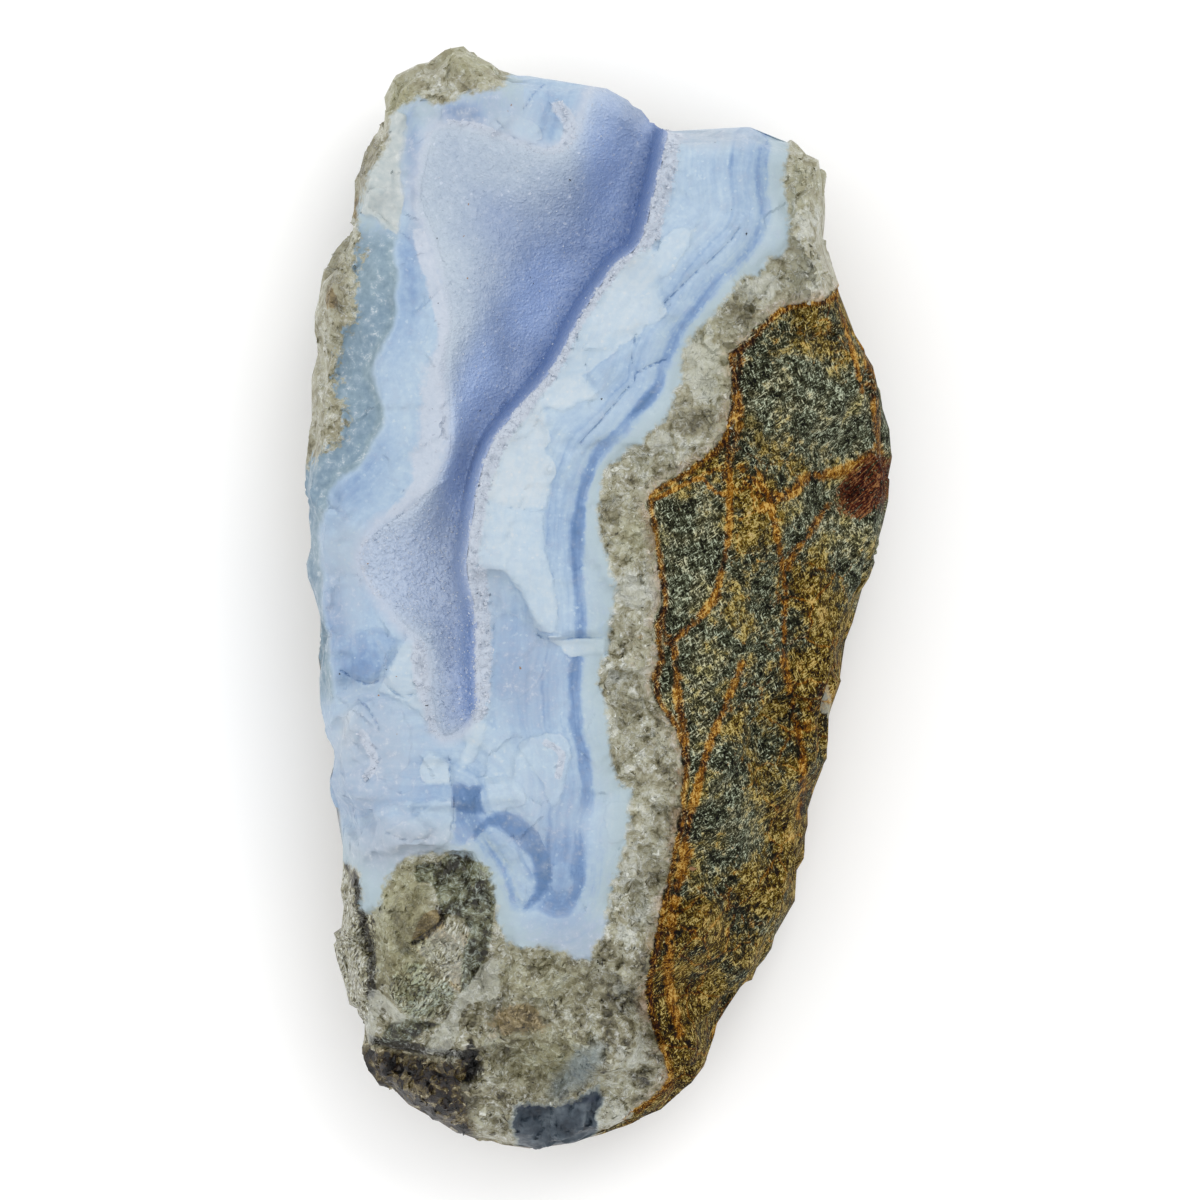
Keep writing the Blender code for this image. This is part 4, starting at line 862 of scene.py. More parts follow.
def face_forms(xy, depth):
    """The broken face, the hollow's floor, and the share of the way between the two."""
    rind, host = rock_share(xy)
    height = between_spots(xy, FACE_SPOTS) + ledge_relief(xy)
    height += roughness(flat(xy), SWELL_SIZE, 2) * SWELL_HEIGHT
    flake_tilt = FLAKE_TILT_AGATE + (FLAKE_TILT_ROCK - FLAKE_TILT_AGATE) * rind
    height += facets(flat(xy), FLAKE_SIZE) * flake_tilt
    chip_tilt = CHIP_TILT_QUARTZ + (CHIP_TILT_HOST - CHIP_TILT_QUARTZ) * host
    height += facets(flat(xy), CHIP_SIZE) * chip_tilt * rind
    height += (grains(flat(xy), GRAIN_SIZE) - 0.5) * GRAIN_HEIGHT * rind * (1.0 - host)
    share, bank = hollow_wall(xy, depth)
    swell = roughness(flat(xy), FLOOR_SWELL_SIZE, 2, 5.0) * FLOOR_SWELL_HEIGHT
    floor = between_spots(xy, FLOOR_SPOTS, 4.0) + swell
    smooth = between_spots(xy, FACE_SPOTS)
    smooth += (height - smooth) * np.exp(-np.maximum(depth, 0.0) / 0.9)
    floor += (smooth - floor) * bank ** 1.6
    lip = LIP_HEIGHT * np.exp(-(depth / LIP_WIDTH) ** 2) * (1.0 - 0.95 * bank)
    lip *= 0.75 + 0.6 * roughness(flat(xy), LIP_CRYSTAL, 2, 8.0)
    return height + lip, floor, share


def fine_relief(xy, fields):
    """Small chips, grains, plates and cracks on top of the broad forms."""
    points = flat(xy)
    rock = fields["rock"]
    host = fields["host_share"]
    quartz = np.clip(rock - host, 0.0, 1.0)
    agate = 1.0 - rock
    sugar = ease(fields["sugar"] * 2.0) * agate * (0.12 + 0.88 * ease(fields["coarse"] / 0.5))
    relief = facets(points + 20.0, LARGE_CHIP) * (0.30 * quartz + 0.12 * host)
    relief += facets(points + 40.0, SMALL_CHIP) * (0.34 * quartz + 0.26 * host + 0.55 * sugar)
    rough = roughness(points, ROCK_ROUGHNESS, 3, 2.0)
    relief += rough * (0.10 * quartz + 0.16 * host + 0.06 * sugar)
    relief += facets(points + 60.0, AGATE_FLAKE) * 0.045 * agate
    relief += roughness(points, AGATE_ROUGHNESS, 3, 6.0) * 0.06 * agate
    step = ease(0.5 + fields["plate"] / 0.5)
    relief += fields["lift"] * step * agate
    relief -= CRACK_DEPTH * np.exp(-(fields["crack"] / CRACK_WIDTH) ** 2) * agate
    relief -= GAP_DEPTH * fields["gap"] * quartz
    relief *= 1.0 - CALM_BY_HOLLOW * ease((fields["depth"] + 0.5) / 0.5)
    band = np.exp(-(fields["wall"] / BAND_HALF) ** 2) * agate
    return relief - BAND_DEPTH * band


def stone_back(xy):
    """The underside: a flat resting facet and the broken facets that rise from it."""
    back = np.zeros(len(xy))
    for degrees, start, steepness in BACK_FACETS:
        way = math.radians(degrees)
        along = xy[:, 0] * math.cos(way) + xy[:, 1] * math.sin(way)
        back = np.maximum(back, (along - start) * steepness)
    return back + facets(flat(xy) + 50.0, BACK_FLAKE_SIZE) * BACK_FLAKE_TILT * ease(back / 2.0)


def strongest(xy, strips):
    """1 along the middle of any strip, 0 at twice its half width, and that strip's coarseness."""
    best = np.zeros(len(xy))
    coarse = np.zeros(len(xy))
    for line, half, grain in strips:
        gap = close_to(xy, smooth_line(line, 3, closed=False), 2.0 * half)
        share = 1.0 - gap / (2.0 * half)
        here = share > best
        best[here] = share[here]
        coarse[here] = grain
    return best, coarse


def agate_plates(xy):
    """Signed distance to the nearest plate's edge, with that plate's shade and lift."""
    plate = np.full(len(xy), -1.5)
    shade = np.zeros(len(xy))
    lift = np.zeros(len(xy))
    for tone, height, corners in AGATE_PLATES:
        depth = near_loop(xy, smooth_line(corners, 2), 1.5)
        here = depth > plate
        plate[here] = depth[here]
        shade[here] = tone
        lift[here] = height
    return plate, shade, lift


def hollow_fields(xy, depth):
    """How far across the hollow each place lies, from the ridge to the bank, how low down, and where
    painted light lifts the druse's slope.
    """
    from_ridge = along_line(xy, smooth_line(RIDGE, closed=False))[0]
    from_bank = along_line(xy, smooth_line(BANK, closed=False))[0]
    across = from_ridge / (from_ridge + from_bank + 0.5)
    painted_light = np.zeros(len(xy))
    for middle, half, turn in DRUSE_PAINTED_LIGHT:
        painted_light = np.maximum(painted_light, patch(xy, middle, half, turn))
    return {
        "from_ridge": from_ridge,
        "druse_painted_light": painted_light,
        "toward_bank": np.where(depth > -1.0, across, 1.0),
        "pocket": ease((18.0 - xy[:, 1]) / 14.0) * (1.0 - 0.75 * ease((1.0 - xy[:, 1]) / 5.0)),
        "cloud": roughness(flat(xy), 7.0, 3, 21.0),
    }


def stone_fields(xy):
    """What the material and the fine relief know about each place on the face, in millimetres."""
    depth = inside_depth(xy, smooth_line(HOLLOW, 3))
    _, bank = hollow_wall(xy, depth)
    host = beside_line(xy, HOST_EDGE)
    corner = np.where((xy[:, 0] < -9.0) & (xy[:, 1] > 44.0), beside_line(xy, CORNER_EDGE), -9.0)
    left_side = (xy[:, 0] < -14.0) & (xy[:, 1] > 15.0) & (xy[:, 1] < 50.0)
    left_rock = np.where(left_side, -beside_line(xy, LEFT_ROCK_LINE), -9.0)
    rind = np.maximum(beside_line(xy, AGATE_EDGE), np.maximum(corner, left_rock))
    plate, plate_shade, lift = agate_plates(xy)
    crack = np.full(len(xy), 1.5)
    for line in CRACKS:
        crack = np.minimum(crack, close_to(xy, smooth_line(line, 3, closed=False), 1.5))
    shade = roughness(flat(xy), 8.0, 3, 3.0) * 0.3
    for middle, half, turn, deeper in AGATE_PATCHES:
        shade += patch(xy, middle, half, turn) * deeper
    sugar, coarse = strongest(xy, SUGAR_STRIPS)
    wall = beside_line(xy, THICK_BAND, 3)
    left = beside_line(xy, LEFT_LINE, 3)
    on_left = ease((9.0 - left) / 4.0) * ease((-11.0 - wall) / 4.0) * ease((46.0 - xy[:, 1]) / 4.0)
    on_left *= ease((xy[:, 1] + 20.0) / 6.0)
    fields = {
        "depth": depth,
        "bank": bank,
        "rind": rind,
        "host": host,
        "wall": wall,
        "left": left,
        "on_left": on_left,
        "sugar": sugar,
        "coarse": coarse,
        "rust": strongest(xy, RUST_VEINS)[0],
        "brown": between_spots(xy, HOST_BROWN, 2.0),
        "band": between_spots(xy, BAND_STRENGTH, 2.5),
        "scar": patch(xy, *RUST_SCAR),
        "gap": strongest(xy, ROCK_GAPS)[0],
        "crack": crack,
        "shade": shade,
        "plate": plate,
        "plate_shade": plate_shade,
        "lift": lift,
        "foot": near_loop(xy, DARK_FOOT, 3.0),
        "knob": near_loop(xy, KNOB, 3.0),
        "crease": close_to(xy, KNOB_CREASE, 1.5),
        "haze": patch(xy, *FOOT_HAZE),
        "warp": roughness(flat(xy), 3.4, 3, 9.0),
        "jag": roughness(flat(xy), 1.5, 3, 12.0),
    }
    fields.update(hollow_fields(xy, depth))
    for tint, spots in ROCK_PATCHES.items():
        fields[tint] = np.zeros(len(xy))
        for middle, half, turn, amount in spots:
            fields[tint] = np.maximum(fields[tint], patch(xy, middle, half, turn) * amount)
    fields["scaly"] = np.zeros(len(xy))
    for tint, amount, corners in ROCK_FACETS:
        inside = ease(0.5 + near_loop(xy, smooth_line(corners, 2), 1.5) / 0.7)
        fields[tint] = np.maximum(fields[tint], inside * amount)
    fields["low"] = ease((-38.0 - xy[:, 1]) / 8.0)
    fields["rock"] = ease(0.5 + rind / 0.8)
    fields["host_share"] = ease(0.5 + host / 0.8)
    return fields


def read_points(mesh):
    """The mesh's points in millimetres."""
    co = np.empty(len(mesh.vertices) * 3, dtype=np.float32)
    mesh.vertices.foreach_get("co", co)
    return co.reshape(-1, 3).astype(float) / MM


def write_points(mesh, points):
    mesh.vertices.foreach_set("co", (points * MM).astype(np.float32).ravel())
    mesh.update()


def read_normals(mesh):
    normals = np.empty(len(mesh.vertices) * 3, dtype=np.float32)
    mesh.vertices.foreach_get("normal", normals)
    return normals.reshape(-1, 3).astype(float)


def write_field(mesh, name, values):
    """Keep one value for each point, which the materials read by name."""
    layer = mesh.attributes.new(name, "FLOAT", "POINT")
    layer.data.foreach_set("value", values.astype(np.float32))


def pick(obj):
    """Make one object the only selected and active one."""
    bpy.ops.object.select_all(action="DESELECT")
    obj.select_set(True)
    bpy.context.view_layer.objects.active = obj


def finish_modifier(obj, kind, **settings):
    """Add a modifier and apply it at once."""
    pick(obj)
    bpy.ops.object.modifier_add(type=kind)
    modifier = obj.modifiers[-1]
    for key, value in settings.items():
        setattr(modifier, key, value)
    bpy.ops.object.modifier_apply(modifier=modifier.name)


def close_edit():
    """Turn all faces outwards and leave edit mode."""
    bpy.ops.mesh.select_all(action="SELECT")
    bpy.ops.mesh.normals_make_consistent(inside=False)
    bpy.ops.object.mode_set(mode="OBJECT")


def outline_slab(name):
    """A disc whose rim is pulled to the outline, extruded to a flat slab."""
    loop = smooth_line(OUTLINE, 3)[::-1]
    bpy.ops.object.select_all(action="DESELECT")
    bpy.ops.mesh.primitive_circle_add(vertices=len(loop), radius=0.05, fill_type="NGON")
    obj = bpy.context.object
    obj.name = name
    obj.data.name = name
    for vert, (x, y) in zip(obj.data.vertices, loop):
        vert.co = (x * MM, y * MM, -SLAB_HALF * MM)
    bpy.ops.object.mode_set(mode="EDIT")
    bpy.ops.mesh.select_all(action="SELECT")
    rise = (0.0, 0.0, 2.0 * SLAB_HALF * MM)
    bpy.ops.mesh.extrude_region_move(TRANSFORM_OT_translate={"value": rise})
    close_edit()
    return obj


def front_surface(xy):
    """Height of the stone under the druse and of the bare face around it."""
    edge = inside_depth(xy, smooth_line(OUTLINE, 3))
    depth = inside_depth(xy, smooth_line(HOLLOW))
    width = SHOULDER_WIDTH * (1.0 + 0.5 * roughness(flat(xy), 15.0, 1, 20.0))
    shoulder = SHOULDER_DROP * (1.0 - np.clip(edge / width, 0.0, 1.0)) ** 2.0
    height, floor, share = face_forms(xy, depth)
    floor = floor - CRUST_DEPTH * ease((depth - 0.6) / 1.8)
    return height * (1.0 - share) + floor * share - shoulder - BASE_TRIM


def shape_slab(obj):
    """Raise the slab's top to the broken face and its underside to the back."""
    points = read_points(obj.data)
    xy = points[:, :2]
    top = front_surface(xy)
    under = np.minimum(stone_back(xy) - BASE_TRIM, top - SIDE_LEAST)
    share = np.clip((points[:, 2] + SLAB_HALF) / (2.0 * SLAB_HALF), 0.0, 1.0)
    points[:, 2] = under + (top - under) * share
    write_points(obj.data, points)


def dress_surface(obj):
    """Put the fine relief on the face and chip the sides and the back."""
    points = read_points(obj.data)
    normals = read_normals(obj.data)
    steep = 1.0 - ease((normals[:, 2] - 0.15) / 0.5)
    face = np.flatnonzero(normals[:, 2] > 0.15)
    fields = stone_fields(points[face, :2])
    steep[face] *= 1.0 - ease((fields["depth"] + 2.0) / 1.5)
    lift = fine_relief(points[face, :2], fields)
    above_rest = ease((points[:, 2] - 0.6) / 3.0)
    side = np.flatnonzero(steep > 0.0)
    chips = np.full(len(side), SIDE_CHIP_DEPTH)
    for size, tilt, offset in SIDE_CHIPS:
        chips += facets(points[side] + offset, size) * tilt
    chips = np.clip(chips, 0.0, 2.0)
    chips += facets(points[side] + 30.0, SIDE_GRAIN) * 0.09
    chips += roughness(points[side], SIDE_GRAIN, 3, 4.0) * 0.10
    push = chips * steep[side] * above_rest[side]
    points[face, 2] += lift * (1.0 - steep[face])
    points[side] -= normals[side] * push[:, None]
    points[:, 2] = np.maximum(points[:, 2], 0.0)
    write_points(obj.data, points)
    sides = obj.vertex_groups.new(name="sides")
    sides.add(np.flatnonzero(steep > 0.3).tolist(), 1.0, "REPLACE")
    finish_modifier(obj, "SMOOTH", vertex_group="sides", factor=0.5, iterations=SIDE_SMOOTHING)
    obj.vertex_groups.clear()


def thin_underside(obj):
    """Spend fewer triangles on the sides and the back than on the face."""
    normals = read_normals(obj.data)
    hidden = obj.vertex_groups.new(name="hidden")
    weights = np.clip((0.35 - normals[:, 2]) / 0.3, 0.0, 1.0)
    for level in range(1, 5):
        chosen = np.flatnonzero(np.ceil(weights * 4.0) == level)
        hidden.add(chosen.tolist(), level / 4.0, "REPLACE")
    ratio = min(STONE_TRIANGLES / (2.0 * len(obj.data.polygons)), 1.0)
    finish_modifier(
        obj, "DECIMATE", ratio=ratio, vertex_group="hidden", vertex_group_factor=3.0,
        use_collapse_triangulate=True,
    )
    obj.vertex_groups.clear()


def make_stone():
    """The whole chunk: a slab remeshed, raised to its forms, remeshed finely and given its relief."""
    stone = outline_slab("stone_surface")
    finish_modifier(stone, "REMESH", mode="VOXEL", voxel_size=COARSE_VOXEL)
    shape_slab(stone)
    finish_modifier(stone, "REMESH", mode="VOXEL", voxel_size=FINE_VOXEL)
    dress_surface(stone)
    thin_underside(stone)
    points = read_points(stone.data)
    normals = read_normals(stone.data)
    fields = stone_fields(points[:, :2])
    for name in STONE_FIELDS:
        write_field(stone.data, name, fields[name])
    low = ease((16.0 - points[:, 2]) / 9.0) * ease((0.5 - normals[:, 2]) / 0.4)
    write_field(stone.data, "under", low)
    pick(stone)
    bpy.ops.object.shade_smooth_by_angle(angle=math.radians(38.0))
    return stone, points, normals, fields


def druse_top(xy):
    """Height of the crystals' bed over the hollow's floor and walls."""
    depth = inside_depth(xy, smooth_line(HOLLOW))
    height, floor, share = face_forms(xy, depth)
    edge = inside_depth(xy, smooth_line(OUTLINE, 2))
    shoulder = SHOULDER_DROP * (1.0 - np.clip(edge / SHOULDER_WIDTH, 0.0, 1.0)) ** 2.0
    bed = height * (1.0 - share) + floor * share
    raised = (DRUSE_RAISE + DRUSE_TUCK) * ease(depth / 0.8) - DRUSE_TUCK
    return bed - shoulder - BASE_TRIM + raised


def druse_room(xy):
    """Distance inside the druse's own border."""
    inside = inside_depth(xy, smooth_line(HOLLOW)) + DRUSE_REACH
    return np.minimum(inside, inside_depth(xy, smooth_line(OUTLINE, 2)) - DRUSE_SIDE_INSET)


def druse_border():
    """The druse's border: the hollow's edge let out a little, but kept inside the outline."""
    xy = smooth_line(HOLLOW, 20)
    small = 0.02
    for _ in range(10):
        room = druse_room(xy)
        slope = np.column_stack([
            druse_room(xy + (small, 0.0)) - room,
            druse_room(xy + (0.0, small)) - room,
        ]) / small
        steepness = np.maximum((slope ** 2).sum(axis=1), 0.5)
        xy = xy - 0.7 * (room / steepness)[:, None] * slope
    border = [xy[0]]
    for spot, room in zip(xy, druse_room(xy)):
        fits = np.min(np.hypot(*(np.array(border) - spot).T)) > 0.8 * DRUSE_SPACING
        if fits and abs(room) < 0.1:
            border.append(spot)
    return border


def druse_net(rng):
    """Places of the druse's points and the triangles between them."""
    border = druse_border()
    low = np.min(border, axis=0)
    high = np.max(border, axis=0)
    row_step = DRUSE_SPACING * math.sqrt(0.75)
    spots = []
    for row in range(math.ceil((high[1] - low[1]) / row_step)):
        for column in range(math.ceil((high[0] - low[0]) / DRUSE_SPACING)):
            x = low[0] + (column + 0.5 * (row % 2) + rng.uniform(-0.46, 0.46)) * DRUSE_SPACING
            y = low[1] + (row + rng.uniform(-0.46, 0.46)) * row_step
            spots.append((x, y))
    room = druse_room(np.array(spots))
    inner = [Vector(spot) for spot, gap in zip(spots, room) if gap > 0.5 * DRUSE_SPACING]
    corners = [Vector(spot) for spot in border] + inner
    ring = [(i, (i + 1) % len(border)) for i in range(len(border))]
    net = geometry.delaunay_2d_cdt(corners, ring, [], 1, 0.0001)
    return np.array([tuple(co) for co in net[0]]), net[2]


def make_druse(rng):
    """A net of small crystals over the hollow, extruded downwards to a closed crust."""
    xy, triangles = druse_net(rng)
    depth = inside_depth(xy, smooth_line(HOLLOW))
    coarse = ease((16.0 - xy[:, 1]) / 12.0)
    inside = ease(depth / 1.0)
    rise = np.array([rng.random() ** 3 for _ in xy])
    lumps = sum(roughness(flat(xy), size, 2, offset) * tall for size, tall, offset in DRUSE_LUMPS)
    height = druse_top(xy) + lumps * inside
    height += rise * (DRUSE_RISE + DRUSE_RISE_LOW * coarse) * (0.15 + 0.85 * inside)
    mesh = bpy.data.meshes.new("druse_crystals")
    mesh.from_pydata((np.column_stack([xy, height]) * MM).tolist(), [], triangles)
    druse = bpy.data.objects.new("druse_crystals", mesh)
    bpy.context.scene.collection.objects.link(druse)
    pick(druse)
    bpy.ops.object.mode_set(mode="EDIT")
    bpy.ops.mesh.select_all(action="SELECT")
    bpy.ops.mesh.delete_loose(use_verts=True, use_edges=False, use_faces=False)
    bpy.ops.mesh.select_all(action="SELECT")
    sink = (0.0, 0.0, -DRUSE_THICKNESS * MM)
    bpy.ops.mesh.extrude_region_move(TRANSFORM_OT_translate={"value": sink})
    close_edit()
    points = read_points(mesh)
    depth = inside_depth(points[:, :2], smooth_line(HOLLOW))
    write_field(mesh, "depth", depth)
    for name, values in hollow_fields(points[:, :2], depth).items():
        write_field(mesh, name, values)
    return druse, np.column_stack([xy, height])


def any_way(rng):
    """A random direction."""
    return Vector((rng.gauss(0, 1), rng.gauss(0, 1), rng.gauss(0, 1))).normalized()


def shard_shapes(rng):
    """A few broken crystals: a ring's points are scattered over a ball and wrapped in flat faces."""
    shapes = []
    for _ in range(SHARD_SHAPES):
        bpy.ops.object.select_all(action="DESELECT")
        bpy.ops.mesh.primitive_circle_add(vertices=SHARD_CORNERS, radius=1.0)
        shard = bpy.context.object.data
        for vert in shard.vertices:
            vert.co = any_way(rng) * rng.uniform(0.8, 1.0)
        bpy.ops.object.mode_set(mode="EDIT")
        bpy.ops.mesh.select_all(action="SELECT")
        bpy.ops.mesh.convex_hull(delete_unused=True, join_triangles=False)
        close_edit()
        corners = np.array([tuple(vert.co) for vert in shard.vertices])
        shapes.append((corners, [list(face.vertices) for face in shard.polygons]))
        bpy.ops.object.delete()
        bpy.data.meshes.remove(shard)
    return shapes


def turned(rng):
    """A random rotation as a 3 by 3 array."""
    axis = any_way(rng)
    return np.array(Matrix.Rotation(rng.uniform(0.0, math.tau), 3, axis))


def make_grains(name, spots, normals, sizes, sink, rng):
    """Copies of the shards, each turned and sunk into the surface, as one mesh."""
    shapes = shard_shapes(rng)
    corners = []
    faces = []
    owners = []
    count = 0
    for owner, (spot, normal, size) in enumerate(zip(spots, normals, sizes)):
        shape, sides = shapes[rng.randrange(len(shapes))]
        stretch = np.array([1.0, rng.uniform(0.7, 1.0), rng.uniform(0.6, 1.2)])
        body = (shape * stretch) @ turned(rng).T * size
        corners.append(body + spot - normal * size * sink)
        faces.extend([[i + count for i in side] for side in sides])
        owners.extend([owner] * len(shape))
        count += len(shape)
    mesh = bpy.data.meshes.new(name)
    mesh.from_pydata((np.vstack(corners) * MM).tolist(), [], faces)
    mesh.update()
    obj = bpy.data.objects.new(name, mesh)
    bpy.context.scene.collection.objects.link(obj)
    shades = mesh.attributes.new("grain", "FLOAT", "FACE")
    shades.data.foreach_set("value", [rng.random() for _ in mesh.polygons])
    return obj, np.array(owners)


def spread_over(weight, count, rng):
    """Pick points at random, more where the weight is higher."""
    reach = np.cumsum(weight)
    return np.searchsorted(reach, np.sort([rng.random() * reach[-1] for _ in range(count)]))


def specks_on(name, places, points, rng):
    """Small grains at listed places, set on the nearest surface point."""
    spots = []
    for x, y, _ in places:
        away = (points[:, 0] - x) ** 2 + (points[:, 1] - y) ** 2 - 0.002 * points[:, 2]
        spots.append(points[np.argmin(away)])
    ways = [np.array((0.0, 0.0, 1.0))] * len(spots)
    sizes = [half for _, _, half in places]
    return make_grains(name, spots, ways, sizes, SPECK_SINK, rng)[0]


class Wire:
    """A socket whose arithmetic adds Math nodes to its tree."""

    def __init__(self, paint, socket):
        self.paint = paint
        self.socket = socket

    def maths(self, operation, first, second=0.0, clamp=False):
        settings = {"operation": operation, "use_clamp": clamp}
        node = self.paint.node("ShaderNodeMath", settings, {0: first, 1: second})
        return Wire(self.paint, node.outputs[0])

    def __add__(self, other):
        return self.maths("ADD", self, other)

    def __radd__(self, other):
        return self.maths("ADD", other, self)

    def __sub__(self, other):
        return self.maths("SUBTRACT", self, other)

    def __rsub__(self, other):
        return self.maths("SUBTRACT", other, self)

    def __mul__(self, other):
        return self.maths("MULTIPLY", self, other)

    def __rmul__(self, other):
        return self.maths("MULTIPLY", other, self)

    def __truediv__(self, other):
        return self.maths("DIVIDE", self, other)

    def __neg__(self):
        return self.maths("MULTIPLY", self, -1.0)

    def __abs__(self):
        return self.maths("ABSOLUTE", self)

    def most(self, other):
        """The larger of two values."""
        return self.maths("MAXIMUM", self, other)

    def held(self):
        """The value kept between 0 and 1."""
        return self.maths("ADD", self, 0.0, clamp=True)

    def past(self, start, width):
        """0 up to start and 1 from start + width."""
        return ((self - start) / width).held()


def seen(red, green, blue):
    """The base colour that shows as this screen colour, 0 to 255, under the studio's light."""
    out = []
    for part in (red, green, blue):
        share = part / 255.0
        light = share / 12.92 if share <= 0.04045 else ((share + 0.055) / 1.055) ** 2.4
        out.append(min(max((light - SHEEN) / STUDIO_GAIN, 0.002), 1.0))
    return (*out, 1.0)


class Paint:
    """One material and the nodes that make it."""

    def __init__(self, name):
        self.material = bpy.data.materials.new(name)
        self.material.use_nodes = True
        self.tree = self.material.node_tree
        self.tree.nodes.remove(self.tree.nodes["Principled BSDF"])
        self.place = self.node("ShaderNodeTexCoord").outputs["Object"]

    def node(self, kind, settings=None, values=None):
        """A node: its settings first, then the values or links of its sockets."""
        node = self.tree.nodes.new(kind)
        for key, value in (settings or {}).items():
            setattr(node, key, value)
        for key, value in (values or {}).items():
            if isinstance(value, Wire):
                value = value.socket
            if isinstance(value, bpy.types.NodeSocket):
                self.tree.links.new(value, node.inputs[key])
            else:
                node.inputs[key].default_value = value
        return node

    def wire(self, socket):
        return Wire(self, socket)

    def field(self, name):
        """A value kept on the mesh under this name."""
        settings = {"attribute_type": "GEOMETRY", "attribute_name": name}
        return self.wire(self.node("ShaderNodeAttribute", settings).outputs["Fac"])

    def noise(self, size, detail=3.0, rough=0.55):
        """Noise with lumps of a size in millimetres, about 0.5 in the middle."""
        values = {
            "Vector": self.place, "Scale": 1.0 / (size * MM), "Detail": detail,
            "Roughness": rough,
        }
        return self.wire(self.node("ShaderNodeTexNoise", None, values).outputs["Fac"])

    def creases(self, size, width, distortion=1.2):
        """1 along thin curved creases: where a distorted noise passes its middle value."""
        values = {
            "Vector": self.place, "Scale": 1.0 / (size * MM), "Detail": 1.0,
            "Roughness": 0.5, "Distortion": distortion,
        }
        lumps = self.wire(self.node("ShaderNodeTexNoise", None, values).outputs["Fac"])
        return (1.0 - abs(lumps - 0.5) / width).held()

    def web(self, size, width):
        """1 along the joints of large, uneven cells."""
        bend = self.node("ShaderNodeTexNoise", None, {
            "Vector": self.place, "Scale": 1.0 / (2.2 * MM), "Detail": 2.0,
        })
        push = self.node("ShaderNodeVectorMath", {"operation": "MULTIPLY_ADD"}, {
            0: bend.outputs["Color"], 1: (0.0022, 0.0022, 0.0022), 2: self.place,
        })
        values = {"Vector": push.outputs[0], "Scale": 1.0 / (size * MM)}
        cells = self.node("ShaderNodeTexVoronoi", {"feature": "DISTANCE_TO_EDGE"}, values)
        return (1.0 - self.wire(cells.outputs["Distance"]) / width).held()

    def up(self):
        """How far up the face a place lies, in millimetres."""
        parts = self.node("ShaderNodeSeparateXYZ", None, {0: self.place})
        return self.wire(parts.outputs[1]) / MM

    def laminae(self, across, width, length):
        """Fine layers: noise along a signed distance in mm, slowly changing up the face."""
        values = {0: across / width, 1: self.up() / length}
        where = self.node("ShaderNodeCombineXYZ", None, values).outputs[0]
        values = {"Vector": where, "Scale": 1.0, "Detail": 2.0, "Roughness": 0.6}
        return self.wire(self.node("ShaderNodeTexNoise", None, values).outputs["Fac"])

    def streaks(self, width, length, degrees, detail=2.0):
        """Noise drawn out along one direction of the face, sizes in millimetres."""
        values = {
            "Vector": self.place, "Rotation": (0.0, 0.0, math.radians(degrees)),
            "Scale": (length * MM, width * MM, width * MM),
        }
        drawn = self.node("ShaderNodeMapping", {"vector_type": "TEXTURE"}, values)
        values = {
            "Vector": drawn.outputs[0], "Scale": 1.0, "Detail": detail, "Roughness": 0.6,
            "Distortion": 0.6,
        }
        return self.wire(self.node("ShaderNodeTexNoise", None, values).outputs["Fac"])

    def cells(self, size):
        """Cells of a size in millimetres: two random values each and the distance inside."""
        values = {"Vector": self.place, "Scale": 1.0 / (size * MM)}
        node = self.node("ShaderNodeTexVoronoi", {"feature": "F1"}, values)
        parts = self.node("ShaderNodeSeparateColor", None, {0: node.outputs["Color"]})
        first = self.wire(parts.outputs[0])
        second = self.wire(parts.outputs[1])
        return first, second, self.wire(node.outputs["Distance"])

    def mix(self, first, second, factor, blend="MIX"):
        settings = {"data_type": "RGBA", "blend_type": blend}
        node = self.node("ShaderNodeMix", settings, {0: factor, 6: first, 7: second})
        return node.outputs[2]

    def ramp(self, value, stops):
        """A colour ramp over millimetres or shares: stops are (position, colour)."""
        low = stops[0][0]
        high = stops[-1][0]
        share = (value - low) / (high - low)
        node = self.node("ShaderNodeValToRGB", None, {0: share})
        band = node.color_ramp
        while len(band.elements) < len(stops):
            band.elements.new(0.5)
        for element, (position, colour) in zip(band.elements, stops):
            element.position = (position - low) / (high - low)
            element.color = colour
        return node.outputs["Color"]

    def grey_ramp(self, value, stops):
        """A curve of values between 0 and 1 over millimetres."""
        greys = [(position, (grey, grey, grey, 1.0)) for position, grey in stops]
        return self.wire(self.ramp(value, greys))

    def bump(self, height, distance, normal=None, strength=1.0):
        values = {"Height": height, "Distance": distance * MM, "Strength": strength}
        if normal is not None:
            values["Normal"] = normal
        return self.node("ShaderNodeBump", None, values).outputs["Normal"]

    def surface(self, colour, rough, normal, finish=None):
        """A shader with its colour, roughness and bump; finish sets its plain sockets."""
        values = {"Base Color": colour, "Roughness": rough}
        if normal is not None:
            values["Normal"] = normal
        values.update(finish or {})
        return self.node("ShaderNodeBsdfPrincipled", None, values).outputs[0]

    def blend(self, first, second, factor):
        return self.node("ShaderNodeMixShader", None, {0: factor, 1: first, 2: second}).outputs[0]

    def show(self, shader):
        self.tree.links.new(shader, self.tree.nodes["Material Output"].inputs["Surface"])
        return self.material


WAXY = {"IOR": 1.45, "Specular IOR Level": 0.4}
CLOUDY = {"IOR": 1.5}
STONY = {"Specular IOR Level": 0.08}
AGATE_SHADES = (
    (-1.0, seen(206, 213, 219)),
    (-0.6, seen(197, 210, 220)),
    (-0.2, seen(184, 203, 219)),
    (0.15, seen(170, 192, 214)),
    (0.5, seen(152, 177, 206)),
    (0.8, seen(128, 156, 194)),
    (1.1, seen(104, 135, 178)),
    (1.5, seen(84, 118, 160)),
)


